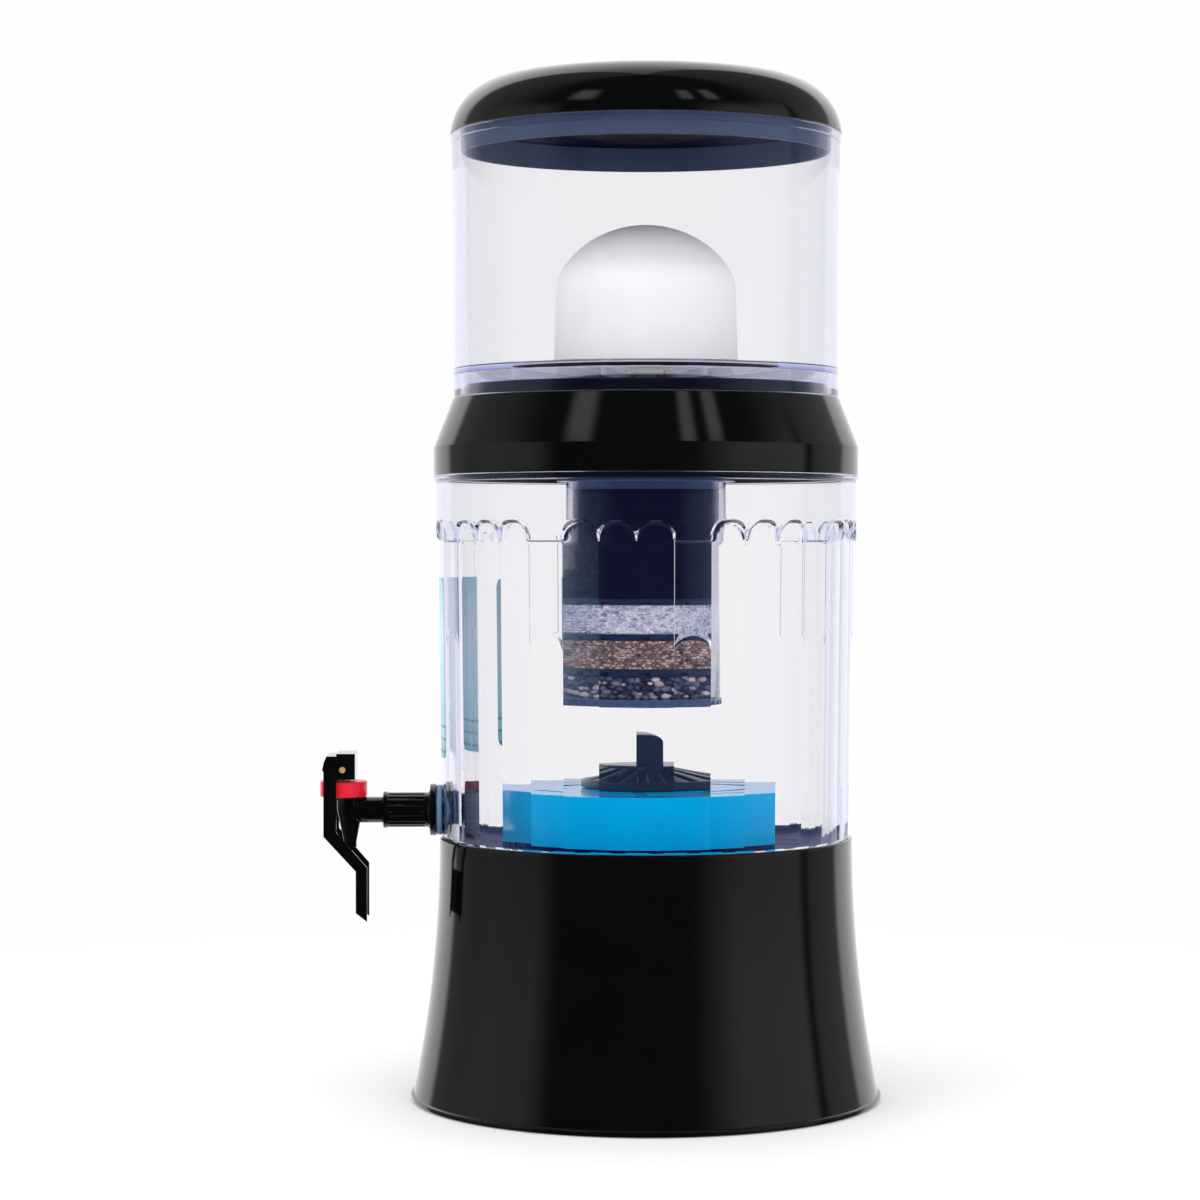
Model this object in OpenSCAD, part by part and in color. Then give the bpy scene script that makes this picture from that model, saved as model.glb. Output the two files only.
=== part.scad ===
// Countertop gravity water filter with a push-lever tap.
//
// Two clear tanks stand on a flared black stand. Water is poured into the upper tank, seeps
// through the ceramic dome, drips through the cartridge under the black collar into the lower
// tank, and leaves by the tap.
//
// Frame: the origin is the centre of the stand's underside, +Z is up, the tap points to -Y.
// Lengths are in millimetres. A module that ends in _profile draws radius (x) against height (y).

/* [Stand] */
// Height of the stand's rim above the table
stand_h = 125.5; // [105:0.5:160]
// How far the foot spreads beyond the rim
stand_flare = 13.2; // [6:0.2:22]
// Wall of the stand
stand_wall = 3; // [2:0.1:3.5]
// Depth to which the lower tank nests in the stand's rim
nest_depth = 7.3; // [5:0.1:12]
// Radius of the opening in the stand's deck
deck_hole_r = 70; // [40:1:78]

/* [Lower tank] */
// Radius over the ridges of the lower tank, at its foot
tank_r = 97.8; // [92:0.1:110]
// Height of the lower tank
tank_h = 180.8; // [172:0.2:220]
// Wall of the lower tank
tank_wall = 3.2; // [2.6:0.1:3.6]
// Floor of the lower tank
tank_floor = 3.3; // [2.5:0.1:6]
// Draft of the lower tank's wall, in degrees
tank_draft = 0.68; // [0.4:0.02:1]
// Height of the shoulder above the tank's underside
shoulder_h = 149.3; // [140:0.1:150]
// Number of upright reeds round the lower tank
facet_n = 36; // [24:4:40]
// Depth of the grooves between the reeds
groove_d = 0.5; // [0.2:0.05:0.8]
// Every so many reeds, one ends low
low_every = 4; // [2:1:8]
// How far the tall reeds rise above the shoulder
arch_rise = 9; // [8:0.1:11]
// How far the low reeds end below the shoulder
arch_drop = 41.5; // [30:0.5:60]

/* [Level label] */
// Height of the label's lower edge above the tank's underside
label_z = 45.8; // [38:0.2:60]
// Height of the label
label_h = 86; // [40:1:90]
// Angle that the label spans round the tank
label_span = 45; // [22.5:0.5:60]
// Angle from the tap to the label's middle
label_turn = 10.75; // [0:0.25:20]
// Thickness of the label
label_t = 0.35; // [0.2:0.05:0.5]

/* [Collar] */
// Height from the lower tank's rim to the ledge under the upper tank
collar_h = 37; // [33:0.5:50]
// Height of the upright band of the collar
collar_band_h = 13.3; // [10:0.1:16]
// Wall of the collar
collar_wall = 3; // [2.2:0.1:3.6]
// Height of the locating rim inside the upper tank's skirt
collar_rim_h = 6; // [3:0.1:7]

/* [Upper tank] */
// Outer radius of the upper tank, at its skirt
upper_r = 92.3; // [88:0.1:94]
// Height of the upper tank, skirt included
upper_h = 126; // [110:0.5:170]
// Wall of the upper tank
upper_wall = 3.9; // [3:0.1:4.2]
// Draft of the upper tank's wall, in degrees
upper_draft = 0.42; // [0.2:0.02:0.6]
// Floor of the upper tank
upper_floor = 4; // [3:0.1:5]
// Height of the skirt under the upper tank's floor
skirt_h = 9.5; // [9:0.1:12]

/* [Lid] */
// Height of the lid above the upper tank's rim, at the edge of its crown
lid_h = 26.3; // [24:0.1:29]
// Radius of the lid's rounded corner
lid_corner_r = 28; // [26:0.5:30]
// Rise of the crown from its edge to its middle
lid_crown = 1.2; // [0.5:0.1:3]
// Wall of the lid
lid_wall = 2.5; // [1.8:0.1:3]
// Depth of the lip that locates the lid in the tank
lid_lip = 9.8; // [6:0.1:12]

/* [Ceramic dome] */
// Radius of the dome at its foot
dome_r = 44.3; // [38:0.1:50]
// Height of the dome
dome_h = 68; // [62:0.5:85]
// Radius of the dome's spherical cap
dome_cap_r = 49; // [46:0.5:54]
// Radius of the shoulder between cap and side
dome_corner_r = 22; // [16:0.5:26]
// Wall of the dome
dome_wall = 7; // [5:0.5:9]
// Radius of the dome's threaded stem
stem_r = 5; // [4:0.1:6]
// Length of the stem below the floor
stem_drop = 20; // [16:0.5:22]

/* [Cartridge] */
// Outer radius of the clear shell
shell_r = 38.5; // [34:0.1:40]
// Wall of the clear shell
shell_wall = 2.8; // [1.8:0.1:3.4]
// Free height between the tray's grip and the cartridge
cartridge_gap = 14; // [13:0.2:24]
// Radius of the flange under the collar
cart_flange_r = 43; // [40:0.1:46]
// Thickness of that flange
cart_flange_t = 2.8; // [2:0.1:4]
// Outer radius of the threaded neck
neck_r = 22; // [16:0.2:26]
// Height of the ribbed foot
cart_foot_h = 3.7; // [3:0.1:6]
// Thickness of each separator disc
disc_t = 3.1; // [2:0.1:4]
// Depth of the bottom layer of dark stones
stone_layer_h = 11.3; // [6:0.1:16]
// Depth of the layer of brown balls
ball_layer_h = 13.6; // [6:0.1:18]
// Depth of the layer of white minerals
white_layer_h = 13.6; // [6:0.1:18]

/* [Mineral tray] */
// Radius of the blue cap
tray_r = 66; // [58:0.2:70]
// Height of the tray
tray_h = 27.4; // [22:0.2:30]
// Height of the ribbed band under the cap
tray_band_h = 2.8; // [2:0.1:5]
// Wall of the cap and the dish
tray_wall = 2.5; // [1.8:0.1:3]
// Radius of the knob
knob_r = 31.3; // [26:0.1:34]
// Height of the knob's body
knob_h = 11; // [9:0.2:12]
// Height of the grip above the knob's body
grip_h = 14.8; // [8:0.2:16]
// Thickness of the grip
grip_t = 9.5; // [5:0.1:12]

/* [Tap] */
// Height of the tap's axis above the stand's rim
tap_h = 12.8; // [12.6:0.1:17]
// Radius of the threaded shank
shank_r = 8; // [6:0.1:8.6]
// Length of the shank inside the outer gasket
shank_l = 21.2; // [18:0.1:24]
// Radius of the gaskets and of the clear pad under them
gasket_r = 12; // [11.5:0.1:12.2]
// Thickness of the outer gasket
gasket_t = 2.8; // [2:0.1:6]
// Radius of the flange
flange_r = 12.4; // [11.8:0.1:12.6]
// Thickness of the flange
flange_t = 3; // [1.5:0.1:4]
// Radius of the ribbed barrel
barrel_r = 8.3; // [8.1:0.05:10]
// Length of the barrel
barrel_l = 22.5; // [20:0.5:30]
// Radius of the neck between barrel and spout
tap_neck_r = 6.2; // [5.9:0.05:6.3]
// Distance from the barrel's end to the valve's axis
valve_reach = 19.1; // [18.6:0.1:26]
// Radius of the red bonnet
bonnet_r = 11.4; // [11.2:0.05:12.4]
// Height of the red bonnet
bonnet_h = 7.8; // [7.6:0.1:9]
// Length of the spout below the bonnet
spout_l = 24.6; // [22:0.2:27]
// Radius of the spout's mouth
spout_r = 3.1; // [3:0.1:4.2]

/* [Lever] */
// Width of the lever over its two arms
lever_w = 28.8; // [28.4:0.1:32]
// Thickness of each arm
arm_t = 1.7; // [1.2:0.1:1.8]
// Depth of the arms
arm_d = 6.1; // [5:0.1:7]
// Height of the hood over the bonnet
hood_h = 12.3; // [12:0.1:16]
// Width of the block behind the hood's front plate, which holds the pin
hood_w = 26; // [22:0.2:28]
// Length of the paddle below the bend
paddle_l = 24.1; // [20:0.1:40]
// Width of the paddle
paddle_w = 27; // [20:0.5:28]
// Depth of the paddle
paddle_d = 5.4; // [4:0.1:6]
// Radius of the lever's pin
pin_r = 1.5; // [1.2:0.05:1.6]

/* [Hidden] */
fine_fn = 180;
small_fn = 48;
// Clearances: pieces that slot together, threads, running shafts and resting gaps
slot_gap = 0.4;
thread_gap = 0.1;
shaft_gap = 0.08;
seat_gap = 0.2;
eps = 0.01;
// Length by which a cutter runs past the solid that it cuts
over = 2;

// Heights of the stack
z_tank = stand_h - nest_depth;
z_floor = z_tank + tank_floor;
z_step = stand_h + 0.5;
z_shoulder = z_tank + shoulder_h;
z_tank_top = z_tank + tank_h;
z_ledge = z_tank_top + collar_h;
z_upper_floor = z_ledge + skirt_h + upper_floor;
z_upper_top = z_ledge + upper_h;

// Lower tank
facet_half = 180 / facet_n;
flange_h = 2.6;
function ridge_r(z) = tank_r + (z - z_step) * tan(tank_draft);
// A reed is a cylinder that leans with the draft: its crown, its grooves and its radius
function crown_r(z) = ridge_r(z) - 0.12;
reed_half_w = (crown_r(z_step) - groove_d) * sin(facet_half);
reed_sag = crown_r(z_step) - (crown_r(z_step) - groove_d) * cos(facet_half);
reed_r = (reed_half_w * reed_half_w + reed_sag * reed_sag) / (2 * reed_sag);
function tank_in_r(z) = ridge_r(z) - tank_wall;
band_r = ridge_r(z_shoulder) + 1.6;
band_in_r = band_r - tank_wall - 0.5;
rim_r = band_r + 0.9;
nest_r = tank_r - 1;
facet_w = 2 * ridge_r(z_shoulder) * sin(facet_half) + 0.6;
arch_inset = 0.6;
film_gap = 0.08;
floor_fillet = 3;

// Stand
stand_in_r = nest_r + slot_gap;
stand_r = stand_in_r + 2;
stand_arc_r = (stand_h * stand_h + stand_flare * stand_flare) / (2 * stand_flare);
rim_round = 1.6;
foot_bead = 0.9;
foot_bead_h = 2.4;
deck_t = 3;

// Upper tank and lid
function upper_out_r(z) = upper_r + (z - z_ledge) * tan(upper_draft);
upper_in_r = upper_out_r(z_upper_floor) - upper_wall;
skirt_in_r = upper_r - upper_wall + 0.3;
bead_h = 4;
bead_r = upper_out_r(z_upper_top) - 0.1 + 0.7;
lid_r = bead_r + 0.2;
lip_r = upper_out_r(z_upper_top) - upper_wall - 0.8;
lip_t = 2.3;
lid_arc_z = z_upper_top + lid_h - lid_corner_r;
lid_arc_x = lid_r - sqrt(lid_corner_r * lid_corner_r - pow(z_upper_top - lid_arc_z, 2));
crown_r = (lid_arc_x * lid_arc_x + lid_crown * lid_crown) / (2 * lid_crown);
rib_n = 12;
rib_h = 2.5;
rib_t = 2;
rib_start = 20;
rib_root = 0.5;

// Collar
collar_in_r = rim_r - collar_wall;
collar_top_r = upper_r + 0.4;
locator_out_r = skirt_in_r - slot_gap;
locator_t = 2.5;
ledge_t = 2.5;
collar_deck_t = 3;
socket_h = 5.5;
socket_t = 3;
lip_drop = 2.2;

// Dome
z_dome_base = z_upper_floor + 1;
dome_base_h = 6;
dome_side_r = dome_r - 1.1;
dome_top_z = z_upper_floor + dome_h;
dome_cap_z = dome_top_z - dome_cap_r;
dome_corner_x = dome_side_r - dome_corner_r;
dome_blend = dome_cap_r - dome_corner_r;
dome_corner_z = dome_cap_z + sqrt(dome_blend * dome_blend - dome_corner_x * dome_corner_x);
gasket_in_r = stem_r + 3;
dome_gasket_r = 22;
washer_r = 14;
washer_t = 1.6;
z_washer = z_ledge + skirt_h - washer_t;
nut_h = 8;
nut_r = 8.5;
wing_r = 19;
wing_t = 3.5;

// Heights of the tray and of its grip, under the cartridge
z_tray_cap = z_floor + tray_band_h;
z_tray_top = z_floor + tray_h;
z_knob = z_tray_top + seat_gap;
z_grip_top = z_knob + knob_h + grip_h;

// Cartridge
z_cart_flange = z_tank_top - seat_gap - cart_flange_t;
z_cart_foot = z_grip_top + cartridge_gap;
bed_r = shell_r - shell_wall - seat_gap;
plug_h = 4;
z_stone = z_cart_foot + cart_foot_h;
z_disc1 = z_stone + stone_layer_h;
z_ball = z_disc1 + disc_t;
z_disc2 = z_ball + ball_layer_h;
z_white = z_disc2 + disc_t;
z_disc3 = z_white + white_layer_h;
z_carbon = z_disc3 + disc_t;
z_carbon_top = z_cart_flange - plug_h;
disc_notches = 12;
cart_seal_in_r = neck_r + 6;
cart_seal_out_r = cart_seal_in_r + 6;
cart_seal_t = 0.8;
sieve_wall = 3.5;
sieve_t = 2;
foot_ribs = 60;
foot_slot_r = 8;
foot_slot_l = 18;
foot_slot_w = 2;

// Tray
dish_r = tray_r - tray_wall - slot_gap;
dish_floor = 2.2;
dish_h = tray_h - tray_wall - 2;
stones_free = 6;
slot_w = 2;
slot_pitch = 8.5;
slot_rings = 3;
slot_count = 6;
tray_ribs = 180;
tray_slot_w = 1.2;
knob_neck_r = 14;
knob_rim_h = 4;
drum_r = 17.8;
grip_l = 30;
grip_y = 1.1;
knob_ribs = 24;

// Tap: distances are measured from the tank's axis towards the front
tap_z = stand_h + tap_h;
pad_rise = 0.047;
pad_y = crown_r(tap_z + gasket_r) + pad_rise;
inner_pad_y = tank_in_r(tap_z) - 1;
tap_flange_y = pad_y + gasket_t;
barrel_y = tap_flange_y + flange_t;
barrel_end_y = barrel_y + barrel_l;
valve_y = barrel_end_y + valve_reach;
shank_end_y = tap_flange_y - shank_l;
inner_gasket_t = 2;
lock_nut_t = 8;
lock_nut_r = 13.8;
socket_depth = 16;
spigot_r = 5.6;
water_r = 3.2;
o_ring_w = 2;
groove_r = spigot_r - 1.2;
groove_back = 10;
groove_y = barrel_end_y - groove_back;

// Valve
bonnet_rise = 6.4;
z_bonnet = tap_z + bonnet_rise;
z_bonnet_top = z_bonnet + bonnet_h;
spigot_top_r = 9.4;
spigot_top_h = bonnet_h - 2.6;
chamber_r = 7.4;
z_seat = z_bonnet - 0.2;
bonnet_plate = 1.6;
z_bonnet_under = z_bonnet_top - bonnet_plate;
funnel_r = 6.2;
funnel_set = 2.9;
funnel_y = valve_y - funnel_set;
spout_set = 3.1;
spout_y = valve_y - spout_set;
z_mouth = z_bonnet - spout_l;
stem_rod_r = 1.9;
plug_r = 4.4;
plug_t = 2;
spring_wire_r = 0.25;
spring_mean_r = 3.1;
spring_turns = 2;
spring_steps = 48;
spring_sides = 8;

// Lever
hood_gap = 1.2;
z_hood = z_bonnet_top + hood_gap;
z_hood_top = z_hood + hood_h;
pin_rise = 4.6;
z_pin = z_hood + pin_rise;
hood_set = 6;
hood_back_y = valve_y - hood_set;
arm_set = 9;
arm_front_y = valve_y + arm_set;
arm_back_y = arm_front_y - arm_d;
bend_drop = 18.2;
z_bend = z_bonnet - bend_drop;
bend_l = 16.7;
bend_rise = 1.9;
z_paddle = z_bend - bend_l;
paddle_set = 11.7;
paddle_back_y = valve_y - paddle_set;
paddle_front_y = paddle_back_y + paddle_d;
lever_half = lever_w / 2;
head_w = 7.6;
head_d = 6.6;
head_h = 8.4;
web_t = 1.8;
plate_drop = 1.1;
z_plate_top = z_hood_top - plate_drop;
plate_bulge = 0.65;
plate_y = arm_front_y + plate_bulge;
plate_slant = 2.1;
plate_lean = 0.9;
plate_slant_h = 2.7;
crease_h = 0.9;
paddle_tip = 4.2;
pocket_w = head_w + 0.6;
pocket_d = 9.8;
pocket_h = 9.2;
pin_l = hood_w + 0.6;

// A cylinder that points to the front, from distance y0 to y1 from the tank's axis
module front_rod(r, y0, y1, z) {
    translate([0, -y0, z])
        rotate([90, 0, 0])
            cylinder(r = r, h = y1 - y0, $fn = small_fn);
}

// An upright cylinder from height z0 to z1, at distance y in front of the tank's axis
module upright_rod(r, z0, z1, y = 0, fn = small_fn) {
    translate([0, -y, z0])
        cylinder(r = r, h = z1 - z0, $fn = fn);
}

// A flat ring from height z0 to z1
module ring(r_out, r_in, z0, z1, fn = fine_fn) {
    difference() {
        upright_rod(r_out, z0, z1, 0, fn);
        upright_rod(r_in, z0 - over, z1 + over, 0, fn);
    }
}

module stand_profile() {
    arc_x = stand_r + stand_arc_r;
    difference() {
        union() {
            square([stand_r + stand_flare, stand_h]);
            square([stand_r + stand_flare + foot_bead, foot_bead_h]);
        }
        difference() {
            translate([arc_x, stand_h]) circle(r = stand_arc_r, $fn = 4 * fine_fn);
            square([2 * arc_x, foot_bead_h]);
        }
        difference() {
            translate([stand_in_r + rim_round / 4, stand_h - rim_round])
                square([stand_r, rim_round + over]);
            translate([stand_r - rim_round, stand_h - rim_round])
                circle(r = rim_round, $fn = small_fn);
            translate([0, stand_h - 2 * rim_round])
                square([stand_r - rim_round, 2 * rim_round]);
        }
        // The hollow under the deck follows the same arc
        difference() {
            translate([-over, -over])
                square([stand_r + stand_flare + over, z_tank - deck_t + over]);
            translate([arc_x, stand_h])
                circle(r = stand_arc_r + stand_wall, $fn = 4 * fine_fn);
        }
        translate([-over, z_tank]) square([stand_in_r + over, stand_h]);
        translate([-over, -over]) square([deck_hole_r + over, stand_h]);
    }
}

module stand() color([0.05, 0.05, 0.05]) {
    rotate_extrude($fn = fine_fn) stand_profile();
}

module tank_outer_profile() {
    polygon([
        [0, z_tank],
        [nest_r - 2, z_tank],
        [nest_r, z_tank + 2],
        [nest_r, z_step - 0.6],
        [ridge_r(z_step), z_step],
        [ridge_r(z_shoulder), z_shoulder],
        [band_r, z_shoulder],
        [band_r, z_tank_top - flange_h],
        [rim_r, z_tank_top - flange_h],
        [rim_r, z_tank_top],
        [0, z_tank_top],
    ]);
}

module tank_cavity_profile() {
    inner_step_z = z_shoulder - 1.5;
    polygon([
        [0, z_floor],
        [tank_in_r(z_floor) - floor_fillet, z_floor],
        [tank_in_r(z_floor + floor_fillet), z_floor + floor_fillet],
        [tank_in_r(inner_step_z), inner_step_z],
        [band_in_r, inner_step_z + 0.8],
        [band_in_r, z_tank_top + over],
        [0, z_tank_top + over],
    ]);
}

// Cutter for one reed at the front: all that lies outside its cylinder, up to an arch
module facet_cutter(z_apex, arch_r) {
    rise = z_apex - arch_r - z_step;
    translate([0, -crown_r(z_step), z_step])
        rotate([tank_draft, 0, 0])
            difference() {
                translate([0, reed_sag + 0.4, 0])
                    rotate([90, 0, 0])
                        linear_extrude(height = 8)
                            union() {
                                translate([-facet_w / 2, -over]) square([facet_w, rise + over]);
                                translate([0, rise]) circle(r = arch_r, $fn = small_fn);
                            }
                translate([0, reed_r, -2 * over])
                    cylinder(r = reed_r, h = rise + arch_r + 4 * over, $fn = 4 * fine_fn);
            }
}

module facet_cutters() {
    for (n = [0 : facet_n - 1]) {
        is_low = n % low_every == floor(low_every / 2);
        z_apex = z_shoulder + (is_low ? -arch_drop : arch_rise);
        arch_r = facet_w / 2 - (is_low ? 0 : arch_inset);
        rotate([0, 0, n * 2 * facet_half]) facet_cutter(z_apex, arch_r);
    }
}

module lower_tank() color([0.78, 0.82, 0.95, 0.35]) {
    difference() {
        union() {
            difference() {
                rotate_extrude($fn = fine_fn) tank_outer_profile();
                rotate_extrude($fn = fine_fn) tank_cavity_profile();
                facet_cutters();
            }
            // Flat pads on both sides of the wall carry the tap's gaskets
            intersection() {
                front_rod(gasket_r + 0.3, tank_in_r(tap_z) + 1, pad_y, tap_z);
                translate([-tank_r, -2 * tank_r, z_step]) cube([2 * tank_r, 2 * tank_r, tank_h]);
            }
            front_rod(gasket_r + 0.3, inner_pad_y, tank_in_r(tap_z) + 1, tap_z);
        }
        front_rod(shank_r + thread_gap, inner_pad_y - over, pad_y + over, tap_z);
    }
}

module level_label() color([0.75, 0.88, 0.9]) {
    z0 = z_tank + label_z;
    z1 = z0 + label_h;
    rotate([0, 0, -90 - label_turn - label_span / 2])
        rotate_extrude(angle = label_span, $fn = fine_fn)
            polygon([
                [ridge_r(z0) + film_gap, z0],
                [ridge_r(z0) + label_t, z0],
                [ridge_r(z1) + label_t, z1],
                [ridge_r(z1) + film_gap, z1],
            ]);
}

module collar_profile() {
    z_cone = z_tank_top + collar_band_h;
    // Outer band and cone
    polygon([
        [collar_in_r, z_tank_top],
        [rim_r, z_tank_top],
        [rim_r, z_cone],
        [collar_top_r, z_ledge],
        [collar_top_r - collar_wall, z_ledge],
        [collar_top_r - collar_wall, z_ledge - ledge_t],
        [collar_in_r, z_cone - 1],
    ]);
    // Ledge and locating rim for the upper tank
    translate([locator_out_r - locator_t, z_ledge - ledge_t])
        square([collar_top_r - collar_wall / 2 - locator_out_r + locator_t, ledge_t]);
    translate([locator_out_r - locator_t, z_ledge - ledge_t])
        square([locator_t, ledge_t + collar_rim_h]);
    // Deck and the threaded socket for the cartridge's neck
    translate([neck_r + thread_gap, z_tank_top])
        square([collar_in_r + 1 - neck_r, collar_deck_t]);
    translate([neck_r + thread_gap, z_tank_top])
        square([socket_t, socket_h]);
    // Lip that locates the collar in the lower tank
    translate([band_in_r - slot_gap - locator_t, z_tank_top - lip_drop])
        square([locator_t, lip_drop + 1]);
}

module collar() color([0.05, 0.05, 0.05]) {
    rotate_extrude($fn = fine_fn) collar_profile();
}

module upper_tank_profile() {
    z_under = z_upper_floor - upper_floor;
    difference() {
        polygon([
            [stem_r + slot_gap, z_ledge],
            [upper_r, z_ledge],
            [upper_out_r(z_upper_top - bead_h), z_upper_top - bead_h],
            [bead_r, z_upper_top - bead_h + 0.5],
            [bead_r, z_upper_top],
            [stem_r + slot_gap, z_upper_top],
        ]);
        polygon([
            [0, z_upper_floor],
            [upper_in_r - 2, z_upper_floor],
            [upper_in_r, z_upper_floor + 2],
            [upper_out_r(z_upper_top) - upper_wall, z_upper_top + over],
            [0, z_upper_top + over],
        ]);
        translate([0, z_ledge - over]) square([skirt_in_r, z_under - z_ledge + over]);
    }
}

module upper_tank() color([0.85, 0.86, 0.96, 0.35]) {
    z_under = z_upper_floor - upper_floor;
    rotate_extrude($fn = fine_fn) upper_tank_profile();
    for (n = [0 : rib_n - 1]) {
        rotate([0, 0, n * 360 / rib_n + 180 / rib_n])
            translate([washer_r + rib_start, -rib_t / 2, z_under - rib_h])
                cube([skirt_in_r - washer_r - rib_start + rib_root, rib_t, rib_h + rib_root]);
    }
}

// The lid's outline, drawn smaller by inset: a shallow crown, a rounded corner and a short edge
module lid_outline(inset) {
    z_crown_edge = lid_arc_z + lid_corner_r;
    difference() {
        union() {
            intersection() {
                translate([lid_arc_x, lid_arc_z])
                    circle(r = lid_corner_r - inset, $fn = 2 * fine_fn);
                translate([lid_arc_x, z_upper_top - over]) square([lid_r, lid_h + 2 * over]);
            }
            translate([0, z_upper_top - over])
                square([lid_arc_x + eps, z_crown_edge - inset - z_upper_top + over]);
            intersection() {
                translate([0, z_crown_edge + lid_crown - crown_r])
                    circle(r = crown_r - inset, $fn = 8 * fine_fn);
                translate([0, z_upper_top]) square([lid_arc_x, lid_h + lid_crown + over]);
            }
        }
        translate([-over, z_upper_top - 2 * over]) square([lid_r + 2 * over, 2 * over]);
    }
}

module lid() color([0.05, 0.05, 0.05]) {
    rotate_extrude($fn = fine_fn) {
        difference() {
            lid_outline(0);
            lid_outline(lid_wall);
            translate([0, z_upper_top - over]) square([lip_r - lip_t, over + eps]);
        }
        // Rest ring and lip
        translate([lip_r - lip_t, z_upper_top - lid_lip])
            square([lip_t, lid_lip + lid_wall]);
        translate([lip_r - lip_t, z_upper_top])
            square([lid_r - lip_r, lid_wall]);
    }
}

// The dome's outline, drawn smaller by inset: drafted side, rounded shoulder and spherical cap
module dome_outline(inset) {
    cap_dir = [dome_corner_x, dome_corner_z - dome_cap_z] * 2;
    polygon([
        [0, z_upper_floor + 0.4],
        [dome_r - inset, z_upper_floor + 0.4],
        [dome_side_r - inset, dome_corner_z],
        [dome_corner_x, dome_corner_z],
        [0, dome_cap_z],
    ]);
    translate([0, dome_corner_z])
        intersection() {
            translate([dome_corner_x, 0]) circle(r = dome_corner_r - inset, $fn = fine_fn);
            square([dome_r, dome_r]);
        }
    intersection() {
        translate([0, dome_cap_z]) circle(r = dome_cap_r - inset, $fn = 2 * fine_fn);
        translate([0, dome_cap_z]) polygon([[0, 0], cap_dir, [0, 2 * dome_cap_r]]);
    }
}

module dome_shell() color([0.96, 0.96, 0.95]) {
    rotate_extrude($fn = fine_fn)
        difference() {
            dome_outline(0);
            dome_outline(dome_wall);
            square([dome_r - dome_wall, z_dome_base + dome_base_h]);
        }
}

module dome_base() color([0.93, 0.93, 0.93]) {
    difference() {
        union() {
            upright_rod(dome_r - dome_wall - seat_gap, z_dome_base, z_dome_base + dome_base_h);
            upright_rod(stem_r, z_upper_floor - upper_floor - stem_drop, z_dome_base + 1);
        }
        upright_rod(stem_r / 2, z_ledge - stem_drop, z_dome_base + dome_base_h + over);
    }
}

module dome_gasket() color([0.85, 0.8, 0.82]) {
    ring(dome_gasket_r, gasket_in_r, z_upper_floor, z_dome_base, small_fn);
}

module stem_washer() color([0.85, 0.78, 0.82]) {
    ring(washer_r, stem_r + thread_gap, z_washer, z_washer + washer_t, small_fn);
}

module wing_nut() color([0.93, 0.93, 0.93]) {
    z0 = z_washer - nut_h;
    difference() {
        union() {
            upright_rod(nut_r, z0, z_washer);
            for (side = [0, 180])
                rotate([0, 0, side])
                    translate([0, wing_t / 2, 0])
                        rotate([90, 0, 0])
                            linear_extrude(height = wing_t)
                                polygon([
                                    [nut_r - 2, z0],
                                    [wing_r - 3, z0 - 5],
                                    [wing_r, z0 - 2],
                                    [wing_r - 2, z_washer - 2],
                                    [nut_r - 2, z_washer - 2],
                                ]);
        }
        upright_rod(stem_r + shaft_gap, z0 - over, z_washer + over);
    }
}

module cartridge_cap() color([0.45, 0.55, 0.72, 0.6]) {
    neck_top = z_tank_top + socket_h + 1.5;
    difference() {
        union() {
            upright_rod(cart_flange_r, z_cart_flange, z_cart_flange + cart_flange_t, 0, fine_fn);
            upright_rod(neck_r, z_cart_flange, neck_top);
            upright_rod(bed_r, z_cart_flange - plug_h, z_cart_flange + 1, 0, fine_fn);
        }
        upright_rod(neck_r - sieve_wall, z_cart_flange - plug_h - over, neck_top - sieve_t);
        // Inlet sieve in the neck's top
        for (n = [0 : 7])
            rotate([0, 0, n * 45])
                translate([sieve_wall, -1, neck_top - sieve_t - 1])
                    cube([neck_r - 3 * sieve_wall, 2, sieve_t + 1 + over]);
        // Groove for the gasket
        ring(
            cart_seal_out_r, cart_seal_in_r,
            z_cart_flange + cart_flange_t - cart_seal_t, z_tank_top + over, small_fn
        );
    }
}

module cartridge_gasket() color([0.9, 0.9, 0.92]) {
    ring(
        cart_seal_out_r - thread_gap, cart_seal_in_r + thread_gap,
        z_tank_top - seat_gap - cart_seal_t, z_tank_top, small_fn
    );
}

module cartridge_shell() color([0.7, 0.8, 0.95, 0.35]) {
    ring(shell_r, shell_r - shell_wall, z_stone - 0.1 + eps, z_cart_flange);
}

module cartridge_foot() color([0.2, 0.35, 0.6]) {
    foot_r = shell_r + 0.3;
    difference() {
        upright_rod(foot_r, z_cart_foot, z_stone - 0.1, 0, fine_fn);
        for (n = [0 : foot_ribs - 1])
            rotate([0, 0, n * 360 / foot_ribs])
                translate([foot_r - 0.7, -0.5, z_cart_foot - over])
                    cube([over, 1, cart_foot_h - 1 + over]);
        for (n = [0 : 11])
            rotate([0, 0, n * 30])
                translate([foot_slot_r, -foot_slot_w / 2, z_cart_foot - over])
                    cube([foot_slot_l, foot_slot_w, cart_foot_h + 2 * over]);
    }
}

module separator_disc(z) {
    difference() {
        upright_rod(bed_r, z + 0.1, z + disc_t - 0.1, 0, fine_fn);
        for (n = [0 : disc_notches - 1])
            rotate([0, 0, n * 360 / disc_notches])
                translate([bed_r - 2, -1.2, z - over]) cube([2 + over, 2.4, disc_t / 2 + over]);
    }
}

module separator_discs() color([0.12, 0.2, 0.4]) {
    for (z = [z_disc1, z_disc2, z_disc3]) separator_disc(z);
}

module carbon_bed() color([0.06, 0.07, 0.1]) {
    upright_rod(bed_r, z_carbon, z_carbon_top, 0, fine_fn);
}

module white_minerals() color([0.86, 0.87, 0.9]) {
    upright_rod(bed_r, z_white, z_disc3, 0, fine_fn);
}

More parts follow.
